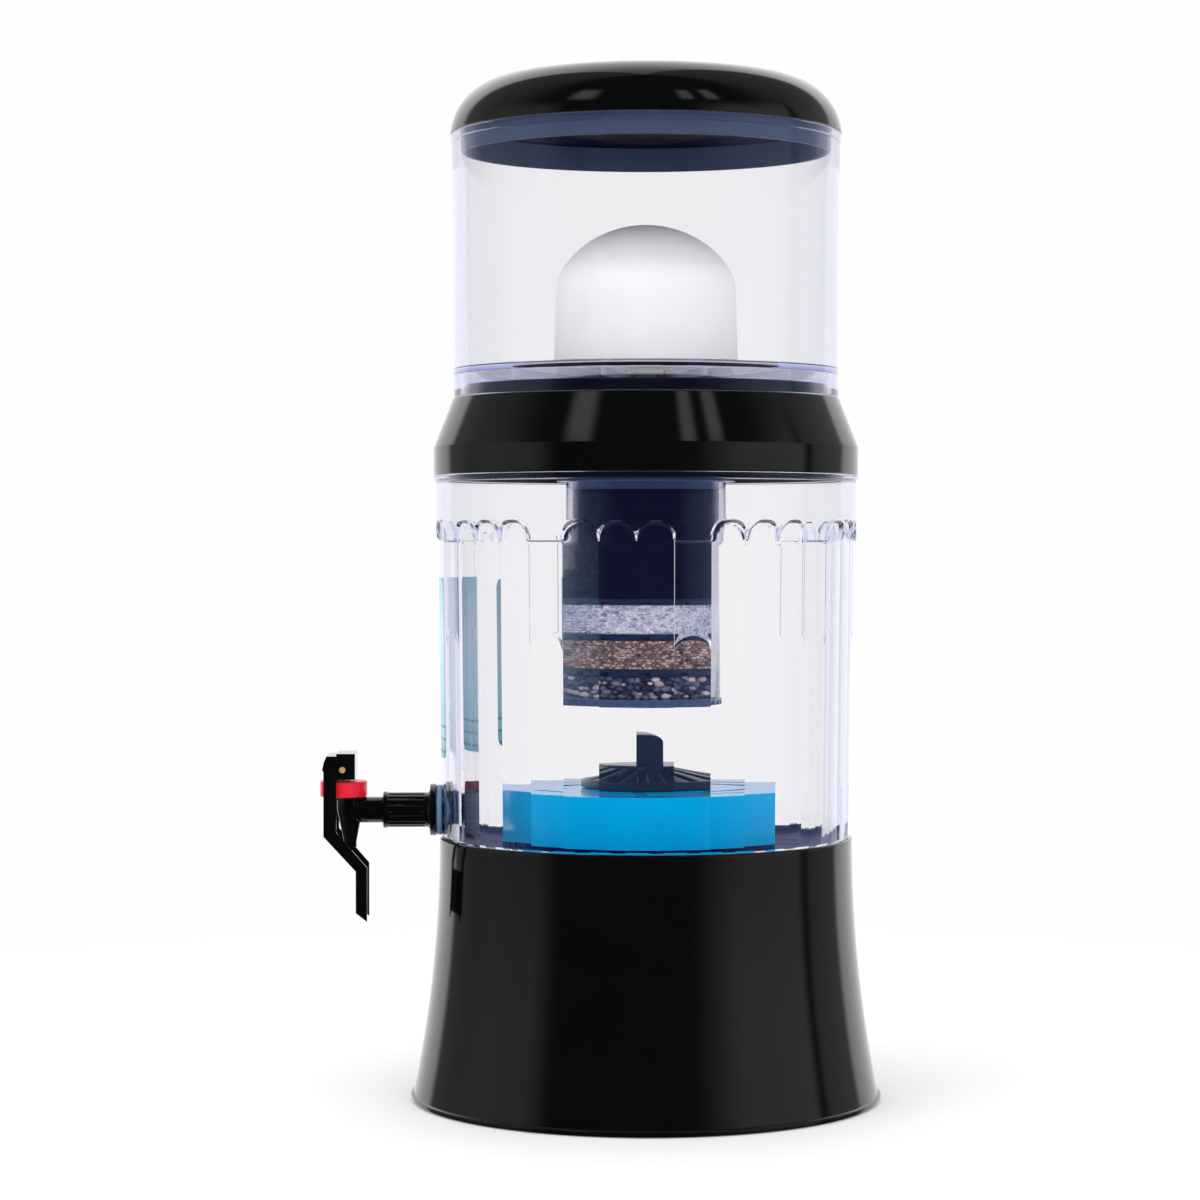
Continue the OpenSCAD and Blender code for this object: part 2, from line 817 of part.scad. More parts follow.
module brown_balls() color([0.5, 0.3, 0.2]) {
    upright_rod(bed_r, z_ball, z_disc2, 0, fine_fn);
}

module dark_stones() color([0.2, 0.2, 0.25]) {
    upright_rod(bed_r, z_stone, z_disc1, 0, fine_fn);
}

module tray_dish() color([0.5, 0.6, 0.75, 0.6]) {
    difference() {
        union() {
            upright_rod(tray_r - 0.4, z_floor, z_tray_cap - 0.1, 0, fine_fn);
            upright_rod(dish_r, z_floor, z_floor + dish_h, 0, fine_fn);
        }
        upright_rod(dish_r - tray_wall, z_floor + dish_floor, z_tray_top, 0, fine_fn);
        for (n = [0 : tray_ribs - 1])
            rotate([0, 0, n * 360 / tray_ribs])
                translate([tray_r - 1.1, -tray_slot_w / 2, z_floor - over])
                    cube([over, tray_slot_w, tray_band_h + 1]);
    }
}

// A ring of short arcs: inlet slots of the tray
module slot_arcs(r, count) {
    pitch = 360 / count;
    for (n = [0 : count - 1])
        rotate([0, 0, n * pitch])
            rotate_extrude(angle = 0.7 * pitch, $fn = fine_fn)
                translate([r, z_tray_top - tray_wall - over])
                    square([slot_w, tray_wall + 2 * over]);
}

module tray_cap() color([0.06, 0.57, 0.82]) {
    difference() {
        upright_rod(tray_r, z_tray_cap, z_tray_top, 0, fine_fn);
        upright_rod(tray_r - tray_wall, z_tray_cap - over, z_tray_top - tray_wall, 0, fine_fn);
        upright_rod(knob_neck_r + slot_gap, z_tray_cap, z_tray_top + over);
        for (i = [0 : slot_rings - 1])
            slot_arcs(knob_r + slot_w + 1 + i * slot_pitch, slot_count + 2 * i);
    }
}

module tray_stones() color([0.75, 0.78, 0.8]) {
    upright_rod(dish_r - tray_wall - seat_gap, z_floor + dish_floor, z_floor + dish_h - stones_free);
}

module tray_knob() color([0.12, 0.18, 0.3]) {
    z0 = z_knob;
    z_rim = z0 + knob_rim_h;
    z_top = z0 + knob_h;
    slope = atan2(z_top - 1 - z_rim, knob_r - drum_r);
    difference() {
        rotate_extrude($fn = fine_fn)
            polygon([
                [0, z_tray_top - tray_wall - 4],
                [knob_neck_r, z_tray_top - tray_wall - 4],
                [knob_neck_r, z0],
                [knob_r, z0],
                [knob_r, z_rim],
                [drum_r, z_top - 1],
                [drum_r, z_top],
                [0, z_top],
            ]);
        for (n = [0 : knob_ribs - 1])
            rotate([0, 0, (n + 0.5) * 360 / knob_ribs])
                translate([knob_r - 1, 0, z_rim + 0.5])
                    rotate([0, slope, 0])
                        translate([-(knob_r - drum_r), -0.7, -0.9])
                            cube([knob_r - drum_r - 1, 1.4, 3]);
    }
    // Grip, rounded over at its back
    translate([-grip_l / 2, grip_y, z_top - 1])
        rotate([90, 0, 90])
            linear_extrude(height = grip_l)
                union() {
                    translate([-grip_t / 2, 0]) square([grip_t, grip_h - 6]);
                    translate([-grip_t / 2, 0]) square([grip_t - 7, grip_h + 1]);
                    intersection() {
                        translate([grip_t / 2 - 7, grip_h - 6]) circle(r = 7, $fn = small_fn);
                        square([grip_t, grip_h + 1]);
                    }
                }
}

module tap_shank() color([0.06, 0.06, 0.06]) {
    ring_w = 2;
    ring_rise = 0.45;
    flare_w = 1.2;
    difference() {
        union() {
            front_rod(shank_r, shank_end_y, tap_flange_y + 1, tap_z);
            front_rod(flange_r, tap_flange_y, barrel_y, tap_z);
            translate([0, -barrel_y + eps, tap_z])
                rotate([90, 0, 0])
                    cylinder(r1 = barrel_r + flare_w, r2 = barrel_r, h = flare_w, $fn = small_fn);
            front_rod(barrel_r, barrel_y - 1, barrel_end_y, tap_z);
            front_rod(barrel_r + ring_rise, barrel_end_y - ring_w, barrel_end_y, tap_z);
        }
        front_rod(water_r + 1, shank_end_y - over, barrel_end_y, tap_z);
        front_rod(spigot_r + shaft_gap, barrel_end_y - socket_depth, barrel_end_y + over, tap_z);
        // Grooves between the grip ribs
        for (n = [0 : 15])
            translate([0, -barrel_y - 3.5, tap_z])
                rotate([0, n * 22.5, 0])
                    translate([-0.6, -barrel_l + 8, barrel_r - 0.5])
                        cube([1.2, barrel_l - 8, 2]);
    }
}

module tap_outer_gasket() color([0.4, 0.52, 0.62, 0.8]) {
    difference() {
        front_rod(gasket_r, pad_y, tap_flange_y, tap_z);
        front_rod(shank_r + thread_gap, pad_y - over, tap_flange_y + over, tap_z);
    }
}

module tap_inner_gasket() color([0.4, 0.5, 0.6, 0.8]) {
    difference() {
        front_rod(gasket_r, inner_pad_y - inner_gasket_t, inner_pad_y, tap_z);
        front_rod(shank_r + thread_gap, inner_pad_y - inner_gasket_t - over, pad_y, tap_z);
    }
}

module tap_lock_nut() color([0.1, 0.12, 0.2]) {
    y1 = inner_pad_y - inner_gasket_t;
    y0 = y1 - lock_nut_t;
    difference() {
        front_rod(lock_nut_r, y0, y1, tap_z);
        front_rod(shank_r + thread_gap, y0 - over, y1 + over, tap_z);
        // Finger notches round the nut
        for (n = [0 : 11])
            translate([0, -y1 - eps, tap_z])
                rotate([0, n * 30 + 15, 0])
                    translate([lock_nut_r + 0.6, -over, 0])
                        rotate([-90, 0, 0])
                            cylinder(r = 1.4, h = lock_nut_t + 2 * over, $fn = small_fn);
    }
}

module tap_o_ring() color([0.08, 0.08, 0.08]) {
    difference() {
        front_rod(spigot_r + shaft_gap / 2, groove_y, groove_y + o_ring_w, tap_z);
        front_rod(groove_r, groove_y - over, groove_y + o_ring_w + over, tap_z);
    }
}

module tap_body() color([0.06, 0.06, 0.06]) {
    inlet_y = valve_y - 6.1;
    duct_lean = atan2(spout_y - (valve_y - 1.1), z_seat - z_mouth);
    difference() {
        union() {
            // Funnel down to the spout's mouth
            hull() {
                upright_rod(funnel_r, tap_z, z_bonnet, funnel_y, 32);
                upright_rod(spout_r, z_mouth, z_mouth + 3, spout_y, 32);
            }
            upright_rod(spigot_top_r, z_bonnet - 1, z_bonnet + spigot_top_h, valve_y);
            front_rod(tap_neck_r, barrel_end_y + seat_gap, funnel_y, tap_z);
            front_rod(spigot_r, barrel_end_y - socket_depth + 1, barrel_end_y + 1, tap_z);
        }
        upright_rod(chamber_r, z_seat, z_bonnet_top, valve_y);
        // Outlet duct from the seat to the mouth
        translate([0, -(valve_y - 1.1), z_seat + 1])
            rotate([180 - duct_lean, 0, 0])
                cylinder(r = 2, h = spout_l + 4, $fn = small_fn);
        // Inlet along the neck, then up into the chamber
        front_rod(water_r, barrel_end_y - socket_depth, inlet_y, tap_z);
        upright_rod(1.4, tap_z, z_seat + 1, inlet_y);
        // Groove for the O-ring
        difference() {
            front_rod(spigot_r + over, groove_y - 0.1, groove_y + o_ring_w + 0.1, tap_z);
            front_rod(groove_r, groove_y - over, groove_y + o_ring_w + over, tap_z);
        }
    }
}

module tap_bonnet() color([0.93, 0.13, 0.2]) {
    translate([0, -valve_y, 0])
        rotate_extrude($fn = 2 * small_fn)
            difference() {
                polygon([
                    [0, z_bonnet],
                    [bonnet_r - 0.8, z_bonnet],
                    [bonnet_r, z_bonnet + 0.8],
                    [bonnet_r, z_bonnet_top - 0.6],
                    [bonnet_r - 0.6, z_bonnet_top],
                    [0, z_bonnet_top],
                ]);
                translate([0, z_bonnet - over])
                    square([spigot_top_r + thread_gap, spigot_top_h + over + 0.1]);
                translate([0, z_bonnet - over])
                    square([chamber_r, bonnet_h - bonnet_plate + over]);
                translate([0, z_bonnet - over])
                    square([stem_rod_r + shaft_gap, bonnet_h + 2 * over]);
            }
}

module valve_stem() color([0.85, 0.85, 0.85]) {
    difference() {
        union() {
            upright_rod(stem_rod_r, z_seat + 1, z_hood, valve_y);
            upright_rod(plug_r, z_seat + plug_t, z_seat + plug_t + 0.6, valve_y);
            translate([-head_w / 2, -valve_y - head_d / 2, z_bonnet_top + 0.3])
                cube([head_w, head_d, head_h]);
        }
        translate([-head_w, -valve_y, z_pin])
            rotate([0, 90, 0])
                cylinder(r = pin_r + shaft_gap, h = 2 * head_w, $fn = small_fn);
    }
}

module valve_plug() color([0.9, 0.88, 0.85]) {
    difference() {
        upright_rod(plug_r, z_seat, z_seat + plug_t, valve_y);
        upright_rod(stem_rod_r, z_seat + 1, z_seat + plug_t + over, valve_y);
    }
}

// The spring's wire as one swept tube: a ring of points at each step, and a cap at each end
module return_spring() color([0.8, 0.8, 0.82]) {
    z0 = z_seat + plug_t + 0.6 + spring_wire_r + 0.05;
    z1 = z_bonnet_under - spring_wire_r - 0.05;
    rings = [
        for (i = [0 : spring_steps])
            let (a = 360 * spring_turns * i / spring_steps, z = z0 + (z1 - z0) * i / spring_steps)
            [
                for (k = [0 : spring_sides - 1])
                    let (
                        t = 360 * k / spring_sides,
                        r = spring_mean_r + spring_wire_r * cos(t)
                    )
                    [r * cos(a), r * sin(a) - valve_y, z + spring_wire_r * sin(t)]
            ]
    ];
    points = [for (section = rings) each section];
    sides = [
        for (i = [0 : spring_steps - 1], k = [0 : spring_sides - 1])
            let (next = (k + 1) % spring_sides, a = i * spring_sides, b = a + spring_sides)
            [a + k, b + k, b + next, a + next]
    ];
    last = spring_steps * spring_sides;
    caps = [
        [for (k = [0 : spring_sides - 1]) k],
        [for (k = [spring_sides - 1 : -1 : 0]) last + k],
    ];
    polyhedron(points = points, faces = concat(sides, caps), convexity = 10);
}

// Side outline of the lever: distance in front of the tank's axis against height
module lever_side_profile() {
    polygon([
        [hood_back_y, z_hood],
        [hood_back_y, z_hood_top],
        [arm_back_y, z_hood_top],
        [arm_back_y, z_plate_top],
        [plate_y - plate_slant, z_plate_top],
        [plate_y - plate_lean, z_plate_top - plate_slant_h],
        [plate_y, z_pin],
        [arm_front_y, z_pin - crease_h],
        [arm_front_y, z_bend],
        [paddle_front_y, z_paddle],
        [paddle_front_y, z_paddle - paddle_l + paddle_tip],
        [paddle_back_y, z_paddle - paddle_l],
        [paddle_back_y, z_paddle + bend_rise],
        [arm_back_y, z_bend + bend_rise],
        [arm_back_y, z_hood],
    ]);
}

// Front outline of the lever, drawn narrower by inset and cut off at z_low
module lever_front_profile(inset, z_low, z_high) {
    wide = lever_half - inset;
    narrow = paddle_w / 2 - inset;
    polygon([
        [-wide, z_high],
        [-wide, z_bend],
        [-narrow, z_paddle],
        [-narrow, z_low],
        [narrow, z_low],
        [narrow, z_paddle],
        [wide, z_bend],
        [wide, z_high],
    ]);
}

// Extrudes a front outline through the lever's whole depth
module through_front() {
    translate([0, -paddle_back_y + over, 0])
        rotate([90, 0, 0])
            linear_extrude(height = plate_y - paddle_back_y + 2 * over) children();
}

module tap_lever() color([0.05, 0.05, 0.05]) {
    difference() {
        intersection() {
            translate([-lever_half, 0, 0])
                rotate([90, 0, 90])
                    linear_extrude(height = lever_w)
                        mirror([1, 0]) lever_side_profile();
            through_front() lever_front_profile(0, z_paddle - paddle_l - over, z_hood_top + over);
        }
        // Window between the arms
        through_front() lever_front_profile(arm_t, z_paddle - web_t, z_hood);
        // The hood is a full-width front plate with a narrower block behind it
        for (x = [-lever_half - over, hood_w / 2])
            translate([x, -arm_back_y, z_hood - over])
                cube([
                    lever_half + over - hood_w / 2,
                    arm_back_y - hood_back_y + over,
                    hood_h + 2 * over,
                ]);
        // The paddle is a channel that is open towards the tank
        translate([-paddle_w / 2 + arm_t, -paddle_front_y + web_t, z_paddle - 2 * paddle_l])
            cube([paddle_w - 2 * arm_t, paddle_d, 2 * paddle_l + over]);
        // Pocket for the stem's head
        translate([-pocket_w / 2, -valve_y - pocket_d / 2, z_hood - over])
            cube([pocket_w, pocket_d, pocket_h + over]);
        translate([-pin_l / 2, -valve_y, z_pin])
            rotate([0, 90, 0])
                cylinder(r = pin_r, h = pin_l, $fn = small_fn);
    }
}

module lever_pin() color([0.8, 0.65, 0.4]) {
    translate([-pin_l / 2, -valve_y, z_pin])
        rotate([0, 90, 0])
            cylinder(r = pin_r, h = pin_l, $fn = small_fn);
}

stand();
lower_tank();
level_label();
collar();
upper_tank();
lid();
dome_shell();
dome_base();
dome_gasket();
stem_washer();
wing_nut();
cartridge_cap();
cartridge_gasket();
cartridge_shell();
cartridge_foot();
separator_discs();
carbon_bed();
white_minerals();
brown_balls();
dark_stones();
tray_dish();
tray_cap();
tray_stones();
tray_knob();
tap_shank();
tap_outer_gasket();
tap_inner_gasket();
tap_lock_nut();
tap_o_ring();
tap_body();
tap_bonnet();
valve_stem();
valve_plug();
return_spring();
tap_lever();
lever_pin();
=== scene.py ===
import random
from math import acos, asin, atan2, cos, degrees, exp, hypot, pi, radians, sin, sqrt, tan, tau

import bmesh
import bpy
import numpy as np
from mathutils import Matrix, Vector


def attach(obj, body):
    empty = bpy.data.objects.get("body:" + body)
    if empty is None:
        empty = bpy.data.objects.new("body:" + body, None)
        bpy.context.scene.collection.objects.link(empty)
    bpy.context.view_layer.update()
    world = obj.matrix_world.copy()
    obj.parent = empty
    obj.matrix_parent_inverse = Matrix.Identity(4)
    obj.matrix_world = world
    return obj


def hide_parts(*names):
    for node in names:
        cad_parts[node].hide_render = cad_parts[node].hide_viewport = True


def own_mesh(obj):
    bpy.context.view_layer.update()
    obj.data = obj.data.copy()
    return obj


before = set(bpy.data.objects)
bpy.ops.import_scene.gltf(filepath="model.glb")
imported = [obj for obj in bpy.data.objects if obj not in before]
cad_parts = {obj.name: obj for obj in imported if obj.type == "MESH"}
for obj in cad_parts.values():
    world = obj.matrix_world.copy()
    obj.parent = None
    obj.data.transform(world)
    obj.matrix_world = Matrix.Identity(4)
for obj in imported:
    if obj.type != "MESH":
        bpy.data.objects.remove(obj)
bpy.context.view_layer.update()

# Lengths are in millimetres, as in the CAD source, and go through MM into Blender
MM = 0.001

# ---- values shared with the CAD
STAND_H = 125.5
STAND_R = 99.2
STAND_FLARE = 13.2
Z_TANK = 118.2
Z_FLOOR = 121.5
Z_STEP = 126.0
TANK_R = 97.8
TANK_WALL = 3.2
DRAFT = tan(radians(0.68))
Z_SHOULDER = 267.5
Z_TANK_TOP = 299.0
FACETS = 36
FACET_HALF = pi / FACETS
Z_LEDGE = 336.0
UPPER_R = 92.3
UPPER_DRAFT = tan(radians(0.42))
UPPER_WALL = 3.9
Z_UPPER_FLOOR = 349.5
Z_UPPER_TOP = 462.0
TAP_Z = 138.3
VALVE_Y = 145.415
Z_BONNET = 144.7
LABEL_TURN = radians(10.75)


def ridge_r(z):
    """Radius of the lower tank's leaning wall."""
    return TANK_R + (z - Z_STEP) * DRAFT


def crown_r(z):
    """Radius of the reeds' crowns."""
    return ridge_r(z) - 0.12


def upper_r(z):
    return UPPER_R + (z - Z_LEDGE) * UPPER_DRAFT


BAND_R = ridge_r(Z_SHOULDER) + 1.6
BAND_IN_R = BAND_R - TANK_WALL - 0.5
RIM_R = BAND_R + 0.9
NEST_R = TANK_R - 1

# A reed of the lower tank is a cylinder that leans with the draft
GROOVE_R = crown_r(Z_STEP) - 0.5
REED_SAG = crown_r(Z_STEP) - GROOVE_R * cos(FACET_HALF)
REED_R = ((GROOVE_R * sin(FACET_HALF)) ** 2 + REED_SAG**2) / (2 * REED_SAG)


# ---- mesh helpers
def fillet(points, steps=6):
    """Rounds the corners of a section. A point is (x, y) or (x, y, radius)."""
    out = []
    n = len(points)
    for i, point in enumerate(points):
        if len(point) < 3:
            out.append(point)
            continue
        p = np.array(point[:2], float)
        a = np.array(points[i - 1][:2], float) - p
        b = np.array(points[(i + 1) % n][:2], float) - p
        la, lb = np.linalg.norm(a), np.linalg.norm(b)
        a, b = a / la, b / lb
        half = acos(max(-1, min(1, float(a @ b)))) / 2
        if half > pi / 2 - 0.02:
            out.append(point[:2])
            continue
        reach = min(point[2] / tan(half), la * 0.49, lb * 0.49)
        mid = (a + b) / np.linalg.norm(a + b)
        centre = p + mid * (reach * tan(half)) / sin(half)
        start, end = p + a * reach - centre, p + b * reach - centre
        sweep = atan2(start[0] * end[1] - start[1] * end[0], float(start @ end))
        for k in range(steps + 1):
            c, s = cos(sweep * k / steps), sin(sweep * k / steps)
            x = centre[0] + start[0] * c - start[1] * s
            y = centre[1] + start[0] * s + start[1] * c
            out.append((float(x), float(y)))
    return out


def at(height, *points):
    """Points of a section whose second values are counted from a height."""
    return [(x, height + h, *radius) for x, h, *radius in points]


def arc(cx, cy, r, a0, a1, steps):
    """Points of an arc, angles in degrees."""
    turns = [radians(a0 + (a1 - a0) * k / steps) for k in range(steps + 1)]
    return [(cx + r * cos(a), cy + r * sin(a)) for a in turns]


def smooth(a, b, x):
    """0 below a, 1 above b, with a soft step between them."""
    t = min(max((x - a) / (b - a), 0), 1)
    return t * t * (3 - 2 * t)


def round_edges(bm, radius, angle):
    """Rounds off the edges that are sharper than an angle in degrees."""
    hard = [e for e in bm.edges if len(e.link_faces) == 2 and e.calc_face_angle(0) > radians(angle)]
    shape = {"segments": 3, "profile": 0.5, "affect": "EDGES", "clamp_overlap": True}
    bmesh.ops.bevel(bm, geom=hard, offset=radius * MM, **shape)


def finish_mesh(verts, faces, sharp=35, keep_winding=False, rounding=None):
    """A mesh from points in millimetres, with its normals outward and smooth up to the sharp angle."""
    mesh = bpy.data.meshes.new("piece")
    mesh.from_pydata((np.asarray(verts, float) * MM).tolist(), [], faces)
    bm = bmesh.new()
    bm.from_mesh(mesh)
    bmesh.ops.remove_doubles(bm, verts=bm.verts, dist=1e-6)
    bmesh.ops.dissolve_degenerate(bm, dist=1e-7, edges=bm.edges)
    if not keep_winding:
        bmesh.ops.recalc_face_normals(bm, faces=bm.faces)
    elif bm.calc_volume(signed=True) < 0:
        bmesh.ops.reverse_faces(bm, faces=bm.faces)
    if rounding:
        round_edges(bm, *rounding)
    bm.to_mesh(mesh)
    bm.free()
    mesh.shade_smooth()
    mesh.set_sharp_from_angle(angle=radians(sharp))
    return mesh


def upright(r, h, c, s):
    return (r * c, r * s, h)


def front(r, h, c, s):
    """Turns about the tap's axis: h is the distance in front of the tank's axis."""
    return (r * c, -h, TAP_Z + r * s)


def over_valve(r, h, c, s):
    return (r * c, r * s - VALVE_Y, h)


def strip(a, b, n, closed=True):
    """The faces between two rows of n points, whose first points are a and b."""
    return [(a + i, b + i, b + (i + 1) % n, a + (i + 1) % n) for i in range(n if closed else n - 1)]


def revolve(profile, segments, ripple=None, place=upright):
    """A closed section turned about an axis. ripple(r, h, angle) moves a point by (dr, dh)."""
    verts, faces = [], []
    n = len(profile)
    for j in range(segments):
        a = tau * j / segments
        c, s = cos(a), sin(a)
        for r, h in profile:
            dr, dh = ripple(r, h, a) if ripple else (0, 0)
            verts.append(place(max(r + dr, 0), h + dh, c, s))
        faces += strip(j * n, (j + 1) % segments * n, n)
    return verts, faces


def lathe(profile, segments, ripple=None, sharp=35, place=upright):
    return finish_mesh(*revolve(profile, segments, ripple, place), sharp=sharp)


def join(*parts):
    """Joins several (verts, faces) into one."""
    verts, faces = [], []
    for v, f in parts:
        base = len(verts)
        verts.extend(v)
        faces.extend(tuple(i + base for i in face) for face in f)
    return verts, faces


def prism(outline, depth, place):
    """A closed outline pushed from -depth/2 to depth/2; place maps (x, y, d) to a point."""
    n = len(outline)
    verts = [place(x, y, d) for d in (-depth / 2, depth / 2) for x, y in outline]
    faces = [tuple(range(n)), tuple(range(2 * n - 1, n - 1, -1))]
    faces += [(i, i + n, (i + 1) % n + n, (i + 1) % n) for i in range(n)]
    return verts, faces


def wire(steps, sides, point):
    """A skin with closed ends along a line; point(k, s) is corner s of its cross-section k."""
    verts = [point(k, s) for k in range(steps + 1) for s in range(sides)]
    faces = [face for k in range(steps) for face in strip(k * sides, (k + 1) * sides, sides)]
    ends = [tuple(range(sides)), tuple(steps * sides + s for s in range(sides - 1, -1, -1))]
    return verts, faces + ends


def pulse(angle, count, share):
    """1 in the grooves of an evenly grooved ring, 0 on its ribs, with soft flanks."""
    soft = 0.25 * share
    t = abs((angle * count / tau) % 1 - 0.5) * 2
    return min(max((t - (1 - share) + soft) / (2 * soft + 1e-9), 0), 1)


def grooves(count, depth, share, where):
    """A ripple that cuts grooves into the points of a profile for which where(r, h) is true."""
    return lambda r, h, a: (-depth * pulse(a, count, share) if where(r, h) else 0, 0)


def add_object(name, data):
    obj = bpy.data.objects.new(name, data)
    bpy.context.scene.collection.objects.link(obj)
    return obj


def piece(name, mesh, mat, body, *nodes, slot=None):
    """A new piece that rides on a body and stands for CAD nodes. The slot argument is not used."""
    mesh.name = name
    obj = add_object(name, mesh)
    if not mesh.materials:
        mesh.materials.append(mat)
    slot = slot or SLOTS[mat.name]
    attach(obj, body)
    if nodes:
        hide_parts(*nodes)
    return obj


def weigh_normals(mesh, sharp=32):
    """The largest faces at a point decide its normal, so that flats shade flat beside rounded edges."""
    corner_vert = np.zeros(len(mesh.loops), int)
    mesh.loops.foreach_get("vertex_index", corner_vert)
    corner_face = np.repeat(np.arange(len(mesh.polygons)), [len(f.vertices) for f in mesh.polygons])
    normals = np.array([f.normal[:] for f in mesh.polygons])[corner_face]
    areas = np.array([f.area for f in mesh.polygons])[corner_face]
    total = np.zeros((len(mesh.vertices), 3))
    np.add.at(total, corner_vert, normals * areas[:, None])
    total /= np.maximum(np.linalg.norm(total, axis=1), 1e-12)[:, None]
    chosen = total[corner_vert]
    apart = (chosen * normals).sum(axis=1) < cos(radians(sharp))
    chosen[apart] = normals[apart]
    mesh.normals_split_custom_set(chosen.tolist())


def dressed(name, node, mat, body, radius):
    """A piece made from a CAD node's own solid, with its hard edges rounded off."""
    bm = bmesh.new()
    bm.from_mesh(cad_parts[node].data)
    bmesh.ops.remove_doubles(bm, verts=bm.verts, dist=2e-6)
    bmesh.ops.dissolve_limit(bm, angle_limit=radians(1), verts=bm.verts, edges=bm.edges)
    round_edges(bm, radius, 30)
    bmesh.ops.triangulate(bm, faces=[f for f in bm.faces if len(f.verts) > 4])
    mesh = bpy.data.meshes.new(name)
    bm.to_mesh(mesh)
    bm.free()
    mesh.shade_smooth()
    weigh_normals(mesh)
    return piece(name, mesh, mat, body, node)


# ---- materials
# Rays that are reflected more often than this are caught inside a clear wall
WALL_BOUNCES = 1.5

# A material's slot by its name in Blender, which differs because the CAD's materials have the slots' names
SLOTS = {}


def srgb(r, g, b):
    """A colour from its values on screen, 0 to 255."""
    shares = [c / 255 for c in (r, g, b)]
    return tuple(c / 12.92 if c <= 0.04045 else ((c + 0.055) / 1.055) ** 2.4 for c in shares)


def grey(level):
    return (level,) * 3


class Nodes:
    """The node tree of a material or a world, built in a few words."""

    def __init__(self, name, world=False):
        self.owner = (bpy.data.worlds if world else bpy.data.materials).new(name)
        self.owner.use_nodes = True
        SLOTS[self.owner.name] = name
        self.tree = self.owner.node_tree
        self.tree.nodes.clear()
        self.out = self.add("OutputWorld" if world else "OutputMaterial")

    def feed(self, socket, value):
        if isinstance(value, bpy.types.NodeSocket):
            self.tree.links.new(value, socket)
        else:
            socket.default_value = (*value, 1) if socket.type == "RGBA" else value

    def add(self, kind, *inputs, **named):
        """A node. Inputs go by place, or by a name with a capital; the other names are its settings."""
        node = self.tree.nodes.new("ShaderNode" + kind)
        for key, value in named.items():
            if key[0].islower():
                setattr(node, key, value)
        for key, value in named.items():
            if key[0].isupper():
                self.feed(node.inputs[key.replace("_", " ")], value)
        for socket, value in zip(node.inputs, inputs):
            self.feed(socket, value)
        return node

    def coord(self):
        return self.add("TexCoord").outputs["Object"]

    def noise(self, scale, detail=3, rough=0.55, stretch=None):
        where = self.coord()
        if stretch:
            where = self.add("Mapping", Vector=where, Scale=stretch).outputs["Vector"]
        node = self.add("TexNoise", Vector=where, Scale=scale, Detail=detail, Roughness=rough)
        return node.outputs["Fac"]

    def ramp(self, value, *stops, interpolation="LINEAR"):
        node = self.add("ValToRGB", value)
        node.color_ramp.interpolation = interpolation
        while len(node.color_ramp.elements) < len(stops):
            node.color_ramp.elements.new(0.5)
        for element, (place, colour) in zip(node.color_ramp.elements, stops):
            element.position = place
            element.color = (*colour, 1)
        return node.outputs["Color"]

    def spread(self, value, low, high, source=(0.3, 0.7)):
        """Brings a source range of a value to the range from low to high."""
        return self.add("MapRange", value, *source, low, high).outputs["Result"]

    def bump(self, height, strength, distance, **normal):
        node = self.add("Bump", Strength=strength, Distance=distance * MM, Height=height, **normal)
        return node.outputs["Normal"]

    def sums(self, operation, a, b):
        return self.add("Math", a, b, operation=operation).outputs[0]

    def rays(self, *kinds, caught=False):
        """1 for rays of these kinds and, where asked for, for those caught inside a clear wall."""
        path = self.add("LightPath")
        marks = [path.outputs[f"Is {kind} Ray"] for kind in kinds]
        if caught:
            marks.append(self.sums("GREATER_THAN", path.outputs["Glossy Depth"], WALL_BOUNCES))
        found = marks[0]
        for mark in marks[1:]:
            found = self.sums("MAXIMUM", found, mark)
        return found

    def mix_shader(self, factor, first, second):
        return self.add("MixShader", factor, first, second).outputs[0]

    def mix_colour(self, factor, first, second, **settings):
        mix = self.add("Mix", data_type="RGBA", Factor=factor, A=first, B=second, **settings)
        return mix.outputs["Result"]

    def see_through(self):
        return self.add("BsdfTransparent").outputs[0]

    def principled(self, **values):
        return self.add("BsdfPrincipled", **values).outputs[0]

    def surface(self, shader=None, **values):
        """Ends the tree with a shader, or with a Principled one made from values."""
        self.feed(self.out.inputs["Surface"], shader or self.principled(**values))
        return self.owner


def moulded(name, colour, rough, grain=900, depth=0.02, vary=0.12, mottle=40, **more):
    """Moulded plastic or rubber: a fine skin, slow waves in the gloss and a slight change of tone."""
    m = Nodes(name)
    low, high = ([min(1, c * k) for c in colour] for k in (1 - vary, 1 + vary))
    base = m.ramp(m.noise(mottle, 4), (0.3, low), (0.7, high))
    skin = m.bump(m.noise(grain, 2), 0.25, depth)
    wave = m.bump(m.noise(22, 1), 0.08, 0.6, Normal=skin)
    worn = m.spread(m.noise(130, 4), rough * 0.8, rough * 1.25)
    return m.surface(Base_Color=base, Roughness=worn, Normal=wave, **more)


def clear(name, density, tint, rough=0.0, ior=1.5, **more):
    """Clear plastic whose walls absorb a little light. Light for other surfaces goes straight through."""
    m = Nodes(name)
    skin = m.bump(m.noise(18, 1), 0.02, 0.5)
    more.update(Base_Color=grey(1), Roughness=rough, IOR=ior, Transmission_Weight=1.0, Normal=skin)
    absorb = m.add("VolumeAbsorption", Color=tint, Density=density)
    m.feed(m.out.inputs["Volume"], absorb.outputs[0])
    straight = m.rays("Shadow", "Diffuse", caught=True)
    return m.surface(m.mix_shader(straight, m.principled(**more), m.see_through()))


